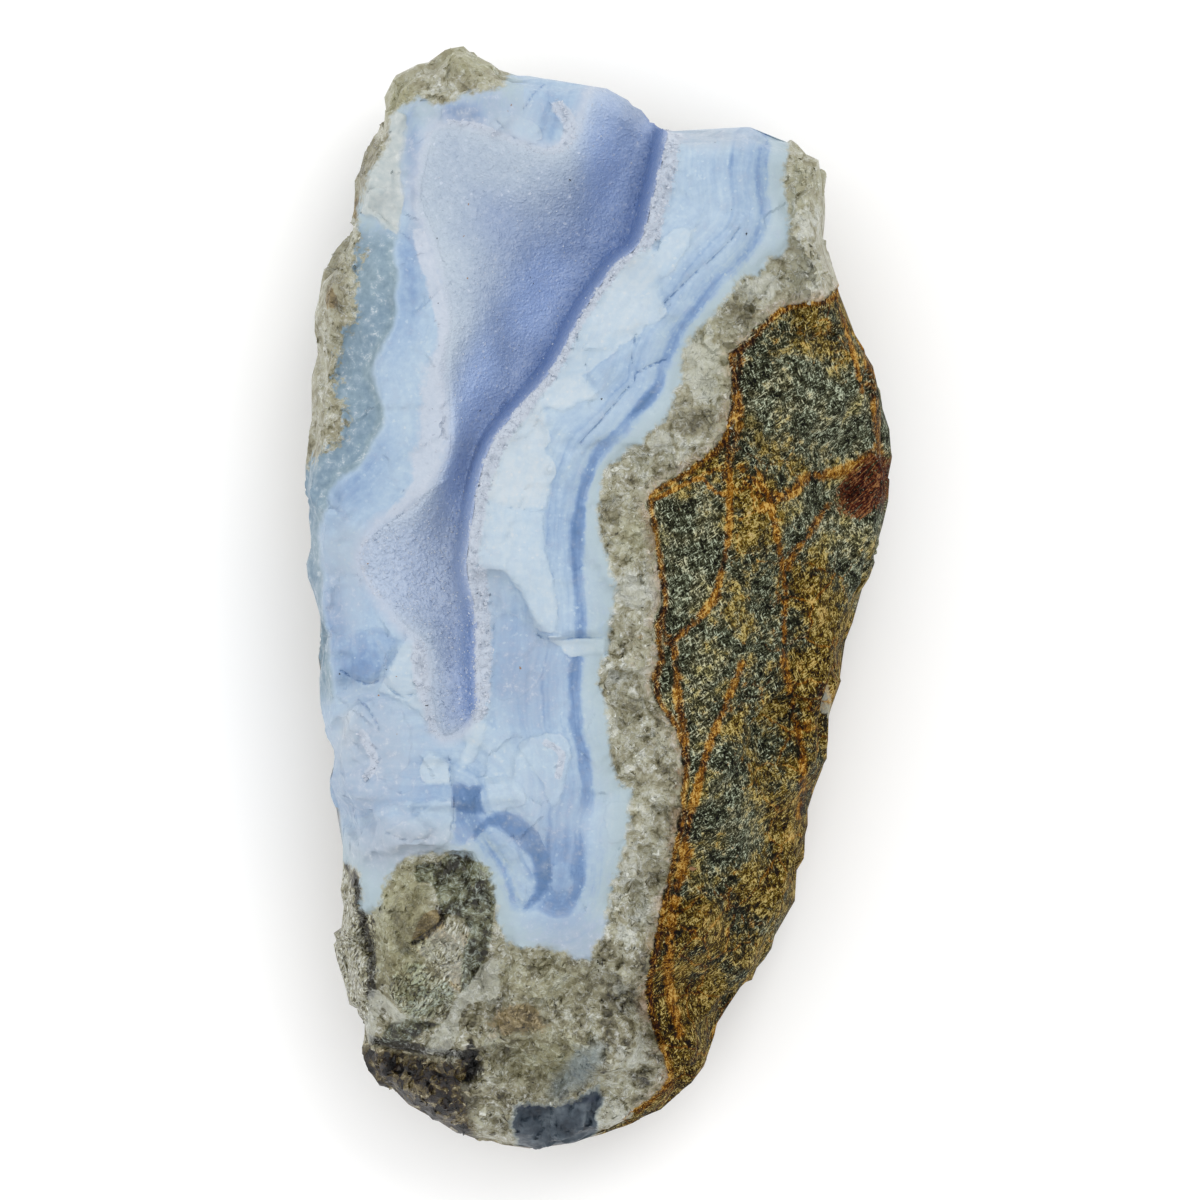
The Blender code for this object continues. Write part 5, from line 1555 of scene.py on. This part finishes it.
def agate_skin(paint, edge, fine):
    """Pale blue agate whose bands follow the wall and the left side."""
    jag = paint.field("jag")
    wall = paint.field("wall") + paint.field("warp") * 0.35 + edge * 0.18
    left = paint.field("left") + paint.field("warp") * 0.5 + edge * 0.2
    wall_shade = paint.grey_ramp(wall, (
        (-12.0, 0.42), (-8.0, 0.40), (-5.2, 0.42), (-4.2, 0.49), (-3.9, 0.62), (-3.6, 0.53),
        (-2.6, 0.50), (-1.5, 0.52), (-0.6, 0.50), (0.6, 0.44), (1.0, 0.38), (2.6, 0.40),
        (5.0, 0.34),
    ))
    band = paint.grey_ramp(wall, (
        (-1.3, 0.0), (-0.95, 0.30), (-0.7, 0.75), (-0.4, 1.0), (0.1, 0.9), (0.45, 0.7), (0.85, 0.0),
    )) * paint.field("band")
    left_shade = paint.grey_ramp(left, (
        (-7.0, 0.62), (-3.0, 0.66), (-1.4, 0.68), (-0.7, 0.62), (-0.3, 0.46), (0.0, 0.36),
        (0.4, 0.42), (0.9, 0.50), (2.0, 0.50), (4.0, 0.46), (8.0, 0.42),
    ))
    on_left = paint.field("on_left")
    across = wall + (left - wall) * on_left.past(0.45, 0.1)
    layer = paint.laminae(across, 0.7, 9.0)
    shade = (wall_shade + (left_shade - wall_shade) * on_left) * 2.5 - 1.0
    layer_depth = 0.85 - on_left * 0.4
    shade = shade + paint.field("shade") * 0.9 + (layer - 0.5) * layer_depth + band * 0.85
    plate = paint.field("plate") + edge * 0.22 + jag * 0.3
    clean = (paint.noise(4.0, 2.0, 0.5) + edge * 0.06).past(0.44, 0.12)
    soft = plate.past(-0.25, 0.7)
    on_plate = soft + (plate.past(-0.03, 0.14) - soft) * clean
    plate_fade = (paint.field("plate") / 1.1).held()
    plate_shade = paint.field("plate_shade") * (0.82 + plate_fade * 0.18) + 0.02
    plate_shade = plate_shade + paint.field("shade") * 0.4 + (layer - 0.5) * 0.5
    shade = shade + (plate_shade - shade) * on_plate * 0.88 + (fine - 0.5) * 1.0
    crack = 1.0 - (paint.field("crack") + edge * 0.12 + jag * 0.1).past(0.0, 0.16)
    # Painted shadow: a thin darker line just outside each plate's edge
    painted_shadow_edge = (1.0 - abs(plate + 0.12) / 0.12).held() * clean
    shade = shade + crack * 0.6 + painted_shadow_edge * (fine - 0.3).held() * 0.6
    dust, dust_two, _ = paint.cells(0.3)
    shade = shade - (dust - 0.9).held() * dust_two * 5.0
    colour = paint.ramp(shade, AGATE_SHADES)
    aqua = (paint.field("rind") + 4.5).past(0.0, 4.0) * 0.85
    colour = paint.mix(colour, seen(174, 191, 197), aqua * (1.0 - (shade - 0.1) * 1.6).held())
    grey_side = (1.0 - left / 0.6).held() * on_left
    grey_tone = paint.mix(seen(94, 120, 136), seen(160, 180, 186), (fine * 2.0 - 0.5).held())
    colour = paint.mix(colour, grey_tone, grey_side * 0.75)
    milk = (paint.field("milky") * 1.25 + (fine - 0.5) * 1.1 + jag * 0.2).held()
    milk_tone = paint.mix(seen(147, 162, 182), seen(197, 204, 216), (fine * 1.8 - 0.4).held())
    colour = paint.mix(colour, milk_tone, milk * 0.8)
    chalky = (-paint.field("plate_shade")).past(0.75, 0.1) * on_plate
    chalk_tone = paint.mix(seen(172, 184, 186), seen(210, 213, 208), (fine * 1.9 - 0.45).held())
    colour = paint.mix(colour, chalk_tone, chalky * 0.85)
    # Pale rims just inside the plates' edges: partly whitish crystal, partly painted highlight
    rim = (1.0 - abs(plate - 0.14) / 0.14).held() * (fine * 3.0 - 1.3).held() * clean
    colour = paint.mix(colour, seen(214, 221, 230), rim * 0.4)
    spark = paint.creases(0.95, 0.075, 1.8) * (fine * 5.0 - 2.7).held()
    flecks = spark * (grey_side * 0.9 + milk * 0.6 + 0.05)
    colour = paint.mix(colour, seen(226, 232, 234), flecks.held())
    lilac = paint.mix(seen(176, 187, 207), seen(204, 210, 222), fine)
    near_hollow = (1.0 - (-paint.field("depth")) / (0.7 + paint.field("bank") * 0.9)).held()
    colour = paint.mix(colour, lilac, near_hollow * 0.8)
    knob_tone = paint.ramp(paint.noise(2.4, 4.0, 0.6), (
        (0.3, seen(40, 47, 56)), (0.5, seen(68, 78, 88)), (0.7, seen(108, 118, 126)),
    ))
    knob = (paint.field("knob") + edge * 0.5 + jag * 0.5).past(-0.1, 0.6)
    colour = paint.mix(colour, knob_tone, knob)
    # Painted shade along the crease over the knob
    crease = 1.0 - (paint.field("crease") + edge * 0.2).past(0.1, 0.4)
    colour = paint.mix(colour, seen(52, 60, 76), crease * knob * 0.8)
    rough = 0.46 - (dust_two - 0.5) * 0.2
    step = plate.past(-0.1, 0.25)
    normal = paint.bump(step * 0.35 + fine * 0.6 - crack * 0.4, 0.2, strength=0.8)
    return paint.surface(colour, rough, normal, WAXY)


def druse_skin(paint):
    """Lilac-blue crystals, deep under the ridge and pale toward the bank, with painted shade along the
    ridge's wall and painted light on the slope.
    """
    dust = paint.noise(0.8, 3.0, 0.65)
    toward_bank = paint.field("toward_bank") + paint.field("cloud") * 0.10
    # Deep blue under the ridge to pale toward the bank: partly the crystals' own colour, partly painted
    # shade of the hollow; the paler stop at 0.27 is painted light on the slope that faces away from the
    # lamps
    colour = paint.ramp(toward_bank, (
        (0.0, seen(118, 144, 196)), (0.14, seen(118, 143, 190)), (0.27, seen(144, 165, 204)),
        (0.42, seen(142, 161, 195)),
        (0.6, seen(151, 168, 195)), (0.8, seen(168, 183, 202)), (1.0, seen(186, 199, 212)),
    ))
    colour = paint.mix(colour, seen(182, 197, 220), paint.field("pocket") * 0.75)
    # Painted light on the paler stretches of the druse's slope
    colour = paint.mix(colour, seen(172, 196, 238), paint.field("druse_painted_light") * 0.7)
    # Darker blue on the ridge's wall and at its foot: partly the crystals' deeper colour, partly painted
    # shade under the ridge
    wall = (1.4 - paint.field("from_ridge") / 1.8).held()
    colour = paint.mix(colour, seen(88, 121, 179), wall * 0.52)
    cell, cell_two, inside = paint.cells(0.28)
    # Paler crystals at random, with painted glints on a few single crystals
    light = ((dust - 0.5) * 1.0 + (cell - 0.5) * 0.2 + (cell - 0.985).held() * 30.0).held()
    colour = paint.mix(colour, seen(214, 222, 236), light)
    deep = ((0.5 - dust) * 0.9 + (cell_two - 0.6) * 0.2).held()
    colour = paint.mix(colour, seen(92, 114, 164), deep * 0.5)
    edge = 1.0 - (paint.field("depth") + (dust - 0.5) * 3.0).past(-0.6, 1.4)
    colour = paint.mix(colour, seen(196, 204, 218), edge * 0.6)
    normal = paint.bump(inside + dust, 0.07)
    return paint.surface(colour, 0.3 + cell * 0.4, normal, CLOUDY)


def sugar_skin(paint, shade):
    """Lilac-white sugary crystal."""
    colour = paint.ramp(shade, (
        (0.0, seen(172, 182, 202)), (0.35, seen(190, 199, 213)), (0.7, seen(203, 210, 222)),
        (1.0, seen(226, 232, 242)),
    ))
    normal = paint.bump(paint.noise(0.3, 2.0, 0.6), 0.07)
    return paint.surface(colour, 0.38, normal, CLOUDY)


def crisp(paint, name, cloud, mottle):
    """A patch with a broken edge instead of a soft one."""
    return (paint.field(name) + (cloud - 0.5) * 1.6 + (mottle - 0.5) * 0.9).past(0.34, 0.2)


def quartz_skin(paint, facet):
    """Grey-white to olive granular quartz with bright curved glints and scaly facets."""
    cloud = paint.noise(3.2, 3.0, 0.6)
    mottle = paint.noise(0.9, 3.0, 0.65)
    cell, cell_two, inside = paint.cells(1.1)
    glint = paint.creases(1.2, 0.11, 1.8) * (mottle * 5.0 - 2.2 + (cloud - 0.5) * 2.0).held()
    joint = paint.creases(1.5, 0.06, 1.4) * (2.6 - mottle * 4.0).held()
    scales = paint.streaks(0.3, 1.1, 64.0, 1.0)
    white = crisp(paint, "white", cloud, mottle)
    green = (paint.field("green") + (cloud - 0.5) * 1.4 + (mottle - 0.5) * 0.9).past(0.3, 0.4)
    dark = crisp(paint, "dark", cloud, mottle)
    tan = crisp(paint, "tan", cloud, mottle)
    scaly = crisp(paint, "scaly", cloud, mottle)
    value = (cloud - 0.5) * 1.2 + (mottle - 0.5) * 0.8 + (cell - 0.5) * 0.26 + facet - joint * 0.2
    olive = (paint.field("olive") + (cloud - 0.5) * 1.2 + 0.1).held()
    calm = (paint.up().past(14.0, 12.0) * 0.35 + olive * 0.35).held()
    value = value * (1.0 - calm) + 0.63
    value = value + white * 0.14 - dark * 0.30 - green * 0.34 - tan * 0.1
    value = value - paint.field("low") * 0.15
    value = value + (0.52 + (scales - 0.5) * 3.2 - value) * scaly * 0.8
    # Painted shade in the gaps between the foot's broken blocks
    value = value - paint.field("gap").past(0.3, 0.5) * 0.7
    colour = paint.ramp(value, (
        (0.0, seen(44, 40, 26)), (0.2, seen(90, 85, 62)), (0.36, seen(125, 120, 94)),
        (0.52, seen(155, 151, 127)), (0.68, seen(176, 175, 154)), (0.84, seen(200, 200, 187)),
        (1.0, seen(230, 232, 224)),
    ))
    colour = paint.mix(colour, seen(240, 242, 238), glint * (0.8 - dark * 0.4))
    colour = paint.mix(colour, (0.80, 0.79, 0.58, 1.0), olive * 0.75, "MULTIPLY")
    colour = paint.mix(colour, (0.74, 0.84, 0.78, 1.0), green * 0.8, "MULTIPLY")
    colour = paint.mix(colour, (0.82, 0.62, 0.36, 1.0), tan * 0.8, "MULTIPLY")
    colour = paint.mix(colour, seen(194, 197, 188), white * 0.4)
    stain = (1.0 + paint.field("host") / 1.4).held() * (cloud + mottle - 0.9).past(0.0, 0.3)
    colour = paint.mix(colour, seen(186, 146, 106), stain * 0.6)
    haze = (paint.field("haze") + (cloud - 0.5) * 1.6 + (mottle - 0.5) * 0.8).past(0.2, 0.8)
    colour = paint.mix(colour, seen(128, 146, 158), haze * 0.6)
    foot_tone = paint.ramp(value + (cell_two - 0.5) * 0.45 + glint * 0.3 - 0.12, (
        (0.1, seen(16, 10, 2)), (0.34, seen(42, 32, 12)), (0.5, seen(74, 63, 36)),
        (0.7, seen(124, 111, 78)), (0.95, seen(208, 200, 170)),
    ))
    foot = (paint.field("foot") + (mottle - 0.5) * 4.0).past(-0.2, 1.0)
    colour = paint.mix(colour, foot_tone, foot)
    rough = 0.26 + (1.0 - cell_two) * 0.3
    normal = paint.bump(inside * 0.6 + mottle * 1.2 + glint * 0.6, 0.3, strength=0.8)
    return paint.surface(colour, rough, normal, CLOUDY)


def host_skin(paint, edge):
    """Dark fine-grained rock with pale needles, rusty along its border and old cracks."""
    cloud = paint.noise(4.6, 4.0, 0.66)
    mottle = paint.noise(1.0, 3.0, 0.7)
    steep = paint.streaks(0.17, 1.0, 112.0, 1.0)
    slant = paint.streaks(0.17, 0.95, 35.0, 1.0)
    hairs = paint.creases(1.1, 0.06, 2.2) * (mottle * 5.0 - 2.2).held()
    fleck = steep.most(slant)
    lines = paint.streaks(0.26, 3.4, 84.0, 2.0)
    dark = paint.field("dark")
    value = (mottle - 0.5) * 1.7 + (cloud - 0.5) * 1.3 + (fleck - 0.57) * (mottle * 4.4 + 0.4)
    value = value + fleck.past(0.65, 0.07) * 0.4 + hairs * 0.5 - dark * 0.17 + 0.56
    grey = paint.ramp(value, (
        (0.0, seen(14, 13, 6)), (0.2, seen(42, 40, 26)), (0.4, seen(69, 68, 50)),
        (0.58, seen(96, 95, 75)), (0.78, seen(136, 135, 107)), (1.0, seen(214, 212, 180)),
    ))
    brown = paint.ramp(value + (lines - 0.5) * 1.0, (
        (0.06, seen(16, 10, 0)), (0.26, seen(44, 31, 2)), (0.46, seen(76, 59, 10)),
        (0.64, seen(101, 82, 22)), (0.84, seen(142, 121, 58)), (1.0, seen(200, 181, 118)),
    ))
    ochre = (paint.field("brown") + (cloud - 0.5) * 2.4 + (mottle - 0.5) * 1.4).past(0.24, 0.4)
    slate = (0.52 - cloud).past(0.0, 0.08)
    grey = paint.mix(grey, (0.80, 0.92, 1.0, 1.0), slate * 0.9, "MULTIPLY")
    grey = paint.mix(grey, (1.0, 0.97, 0.74, 1.0), (cloud - 0.52).past(0.0, 0.08), "MULTIPLY")
    colour = paint.mix(grey, brown, ochre)
    colour = paint.mix(colour, seen(196, 198, 184), crisp(paint, "white", cloud, mottle) * 0.7)
    uneven = (cloud - 0.5) * 1.4 + (mottle - 0.5) * 1.4 + edge * 0.2
    border = paint.field("host") + edge * 0.3 + (cloud - 0.5) * 1.6
    rim = (1.0 - (abs(border - 0.45) - 0.12) / 0.45).held() * (mottle * 2.4 - 0.3).held()
    veins = (paint.field("rust") * (1.0 + uneven * 1.3)).past(0.48, 0.34)
    web = paint.web(6.0, 0.035) * (paint.field("brown") + (mottle - 0.5) * 2.0).past(0.3, 0.3)
    stain = (cloud + mottle * 0.4 + paint.field("brown") * 0.2).past(0.93, 0.12) * 0.5
    rust = rim.most(veins).most(web).most(stain)
    rust_tone = paint.ramp(value * 0.6 + (lines - 0.5) * 1.4 + (cloud - 0.5) * 1.2 + 0.14, (
        (0.08, seen(48, 24, 2)), (0.3, seen(92, 56, 8)), (0.5, seen(132, 84, 20)),
        (0.7, seen(172, 120, 44)), (0.95, seen(216, 176, 98)),
    ))
    colour = paint.mix(colour, rust_tone, rust * 0.9)
    fibres = paint.streaks(0.22, 3.0, 44.0, 1.0)
    scar_tone = paint.ramp(value * 0.5 + (fibres - 0.5) * 2.6 + 0.3, (
        (0.1, seen(26, 4, 2)), (0.5, seen(60, 22, 10)), (0.8, seen(94, 46, 22)),
        (1.1, seen(152, 106, 68)),
    ))
    uneven_scar = 1.0 + (mottle - 0.5) * 2.2 + (fibres - 0.5) * 2.8
    scar = (paint.field("scar") * uneven_scar).past(0.32, 0.2)
    colour = paint.mix(colour, scar_tone, scar * 0.95)
    normal = paint.bump(mottle * 1.1 + fleck * 1.0, 0.3, strength=0.9)
    rough = 0.6 + (1.0 - fleck) * 0.3
    return paint.surface(colour, rough, normal, STONY)


def make_stone_paint():
    """Agate, sugary strips, druse, quartz and host rock, each where its own line says."""
    paint = Paint("banded_agate_in_rock")
    fine = paint.noise(1.0, 4.0, 0.62)
    edge = (paint.noise(0.7, 3.0, 0.6) - 0.5) * 2.0
    rough_edge = paint.field("jag") * 0.5 + edge * 0.8
    shader = agate_skin(paint, edge, fine)
    sugar = sugar_skin(paint, (fine * 0.7 + edge * 0.3 + 0.12).held())
    sugary = (paint.field("sugar") + rough_edge * 0.3).past(0.38, 0.2) * 0.82
    shader = paint.blend(shader, sugar, sugary)
    bank = paint.field("bank")
    ragged = rough_edge * (0.3 + bank * 0.8) + bank * 0.5
    crystals = (paint.field("depth") + ragged).past(-0.1, 0.6)
    shader = paint.blend(shader, druse_skin(paint), crystals)
    quartz = quartz_skin(paint, paint.field("jag") * 0.2)
    not_knob = 1.0 - (paint.field("knob") + edge * 0.5 + paint.field("jag") * 0.5).past(-0.1, 0.6)
    ragged_rock = rough_edge * (0.9 + paint.field("on_left") * 1.2)
    on_quartz = (paint.field("rind") + ragged_rock).past(-0.3, 0.6) * not_knob
    shader = paint.blend(shader, quartz, on_quartz)
    on_host = (paint.field("host") + rough_edge * 0.5).past(-0.15, 0.3)
    shader = paint.blend(shader, host_skin(paint, edge), on_host.most(paint.field("under")))
    return paint.show(shader)


def make_grain_paint():
    paint = Paint("granular_quartz")
    return paint.show(quartz_skin(paint, (paint.field("grain") - 0.5) * 0.8))


def make_sugar_paint():
    paint = Paint("sugary_quartz")
    shade = (paint.field("grain") * 0.4 + paint.noise(0.6, 2.0) * 0.6).held()
    return paint.show(sugar_skin(paint, shade))


def make_druse_paint():
    paint = Paint("druse_crystal")
    return paint.show(druse_skin(paint))


def make_speck_paint(name, low, high):
    """A mottled mineral for small specks."""
    paint = Paint(name)
    colour = paint.mix(low, high, paint.noise(0.3, 3.0))
    normal = paint.bump(paint.noise(0.1, 2.0), 0.05)
    return paint.show(paint.surface(colour, 0.55, normal))


def give(obj, material):
    """Dress a piece in its material and attach it to the root body."""
    obj.data.materials.clear()
    obj.data.materials.append(material)
    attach(obj, "root")


def make_camera():
    """A long lens straight above the broken face."""
    distance = VIEW_WIDTH * LENS / SENSOR
    bpy.ops.object.camera_add(location=(0.0, 0.0, VIEW_HEIGHT + distance), rotation=(0.0, 0.0, 0.0))
    camera = bpy.context.object
    camera.data.lens = LENS
    camera.data.sensor_width = SENSOR
    camera.data.clip_start = 0.01
    bpy.context.scene.camera = camera


def make_light(name, location, size, power, colour):
    """A soft square lamp that looks at the stone."""
    bpy.ops.object.light_add(type="AREA", location=location)
    light = bpy.context.object
    light.name = name
    light.data.size = size
    light.data.energy = power
    light.data.color = colour
    aim = Vector((0.0, 0.0, 0.02)) - light.location
    light.rotation_euler = aim.to_track_quat("-Z", "Y").to_euler()


def make_stage():
    """A plain pale floor, even white light around it and the soft lamps."""
    bpy.ops.mesh.primitive_plane_add(size=6.0, location=(0.0, 0.0, 0.0))
    floor = bpy.context.object
    floor.name = "studio_floor"
    paint = Paint("pale_floor")
    shade = paint.noise(300.0, 2.0)
    colour = paint.mix((0.96, 0.96, 0.96, 1.0), (0.99, 0.99, 0.99, 1.0), shade)
    floor.data.materials.append(paint.show(paint.surface(colour, 0.9, None)))
    world = bpy.data.worlds.new("studio")
    bpy.context.scene.world = world
    world.use_nodes = True
    background = world.node_tree.nodes["Background"]
    background.inputs["Color"].default_value = (1.0, 1.0, 1.0, 1.0)
    background.inputs["Strength"].default_value = WORLD_LIGHT
    for name, location, size, power, colour in LIGHTS:
        make_light(name, location, size, power, colour)
    bpy.context.scene.view_settings.view_transform = "Standard"


def make_quartz_grains(points, normals, fields, rng):
    """Loose grains over the quartz rind, fewest along the foot's outline, none low down or on the knob."""
    up = ease((normals[:, 2] + 0.2) / 0.5)
    weight = ease((fields["rind"] - 0.3) / 0.8) * (1.0 - ease(0.6 + fields["host"] / 0.6)) * up
    weight *= (1.0 - ease(0.5 + fields["knob"])) * (points[:, 2] > GRAINS_FROM_HEIGHT)
    room = inside_depth(points[:, :2], OUTLINE)
    weight *= np.maximum(ease(room / 1.5), ease((points[:, 1] - FOOT_TOP) / 4.0))
    picks = spread_over(weight, QUARTZ_COUNT, rng)
    sizes = [rng.uniform(*QUARTZ_SIZE) * rng.uniform(0.6, 1.0) for _ in picks]
    spots = points[picks]
    quartz, owners = make_grains("quartz_grains", spots, normals[picks], sizes, QUARTZ_SINK, rng)
    for name in GRAIN_FIELDS:
        write_field(quartz.data, name, fields[name][picks][owners])
    return quartz


def make_sugary_crystals(points, normals, fields, rng):
    """Small crystals along the coarser sugary strips."""
    weight = ease((fields["sugar"] - 0.3) / 0.3) * fields["coarse"]
    weight *= ease((normals[:, 2] - 0.3) / 0.3)
    weight *= ease(-fields["rind"] / 1.0)
    picks = spread_over(weight, SUGAR_COUNT, rng)
    sizes = [rng.uniform(*SUGAR_SIZE) for _ in picks]
    spots = points[picks]
    return make_grains("sugary_crystals", spots, normals[picks], sizes, SUGAR_SINK, rng)[0]


def make_druse_sparks(bed, rng):
    """Crystals that stand out of the druse, most of them in its lower part."""
    low_part = ease((18.0 - bed[:, 1]) / 12.0)
    picks = spread_over(SPARKS_ON_UPPER_PART + low_part, SPARK_COUNT, rng)
    sizes = [rng.uniform(*SPARK_SIZE) for _ in picks]
    ways = [np.array((0.0, 0.0, 1.0))] * len(picks)
    return make_grains("druse_sparks", bed[picks], ways, sizes, SPARK_SINK, rng)[0]


def main():
    rng = random.Random(SEED)
    stone, points, normals, fields = make_stone()
    druse, bed = make_druse(rng)
    quartz = make_quartz_grains(points, normals, fields, rng)
    sugar = make_sugary_crystals(points, normals, fields, rng)
    sparks = make_druse_sparks(bed, rng)
    ground = np.vstack([points[normals[:, 2] > 0.2], bed])
    dark = specks_on("dark_specks", DARK_SPECKS, ground, rng)
    rusty = specks_on("rusty_specks", RUSTY_SPECKS, ground, rng)
    give(stone, make_stone_paint())
    give(quartz, make_grain_paint())
    sugar_paint = make_sugar_paint()
    give(sugar, sugar_paint)
    give(sparks, sugar_paint)
    give(druse, make_druse_paint())
    give(dark, make_speck_paint("dark_mineral", seen(20, 24, 36), seen(60, 62, 70)))
    rusty_tones = seen(136, 92, 58), seen(182, 142, 104)
    give(rusty, make_speck_paint("rusty_mineral", *rusty_tones))
    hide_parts("agate_stone")
    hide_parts("druse_crust")
    make_stage()
    make_camera()


main()
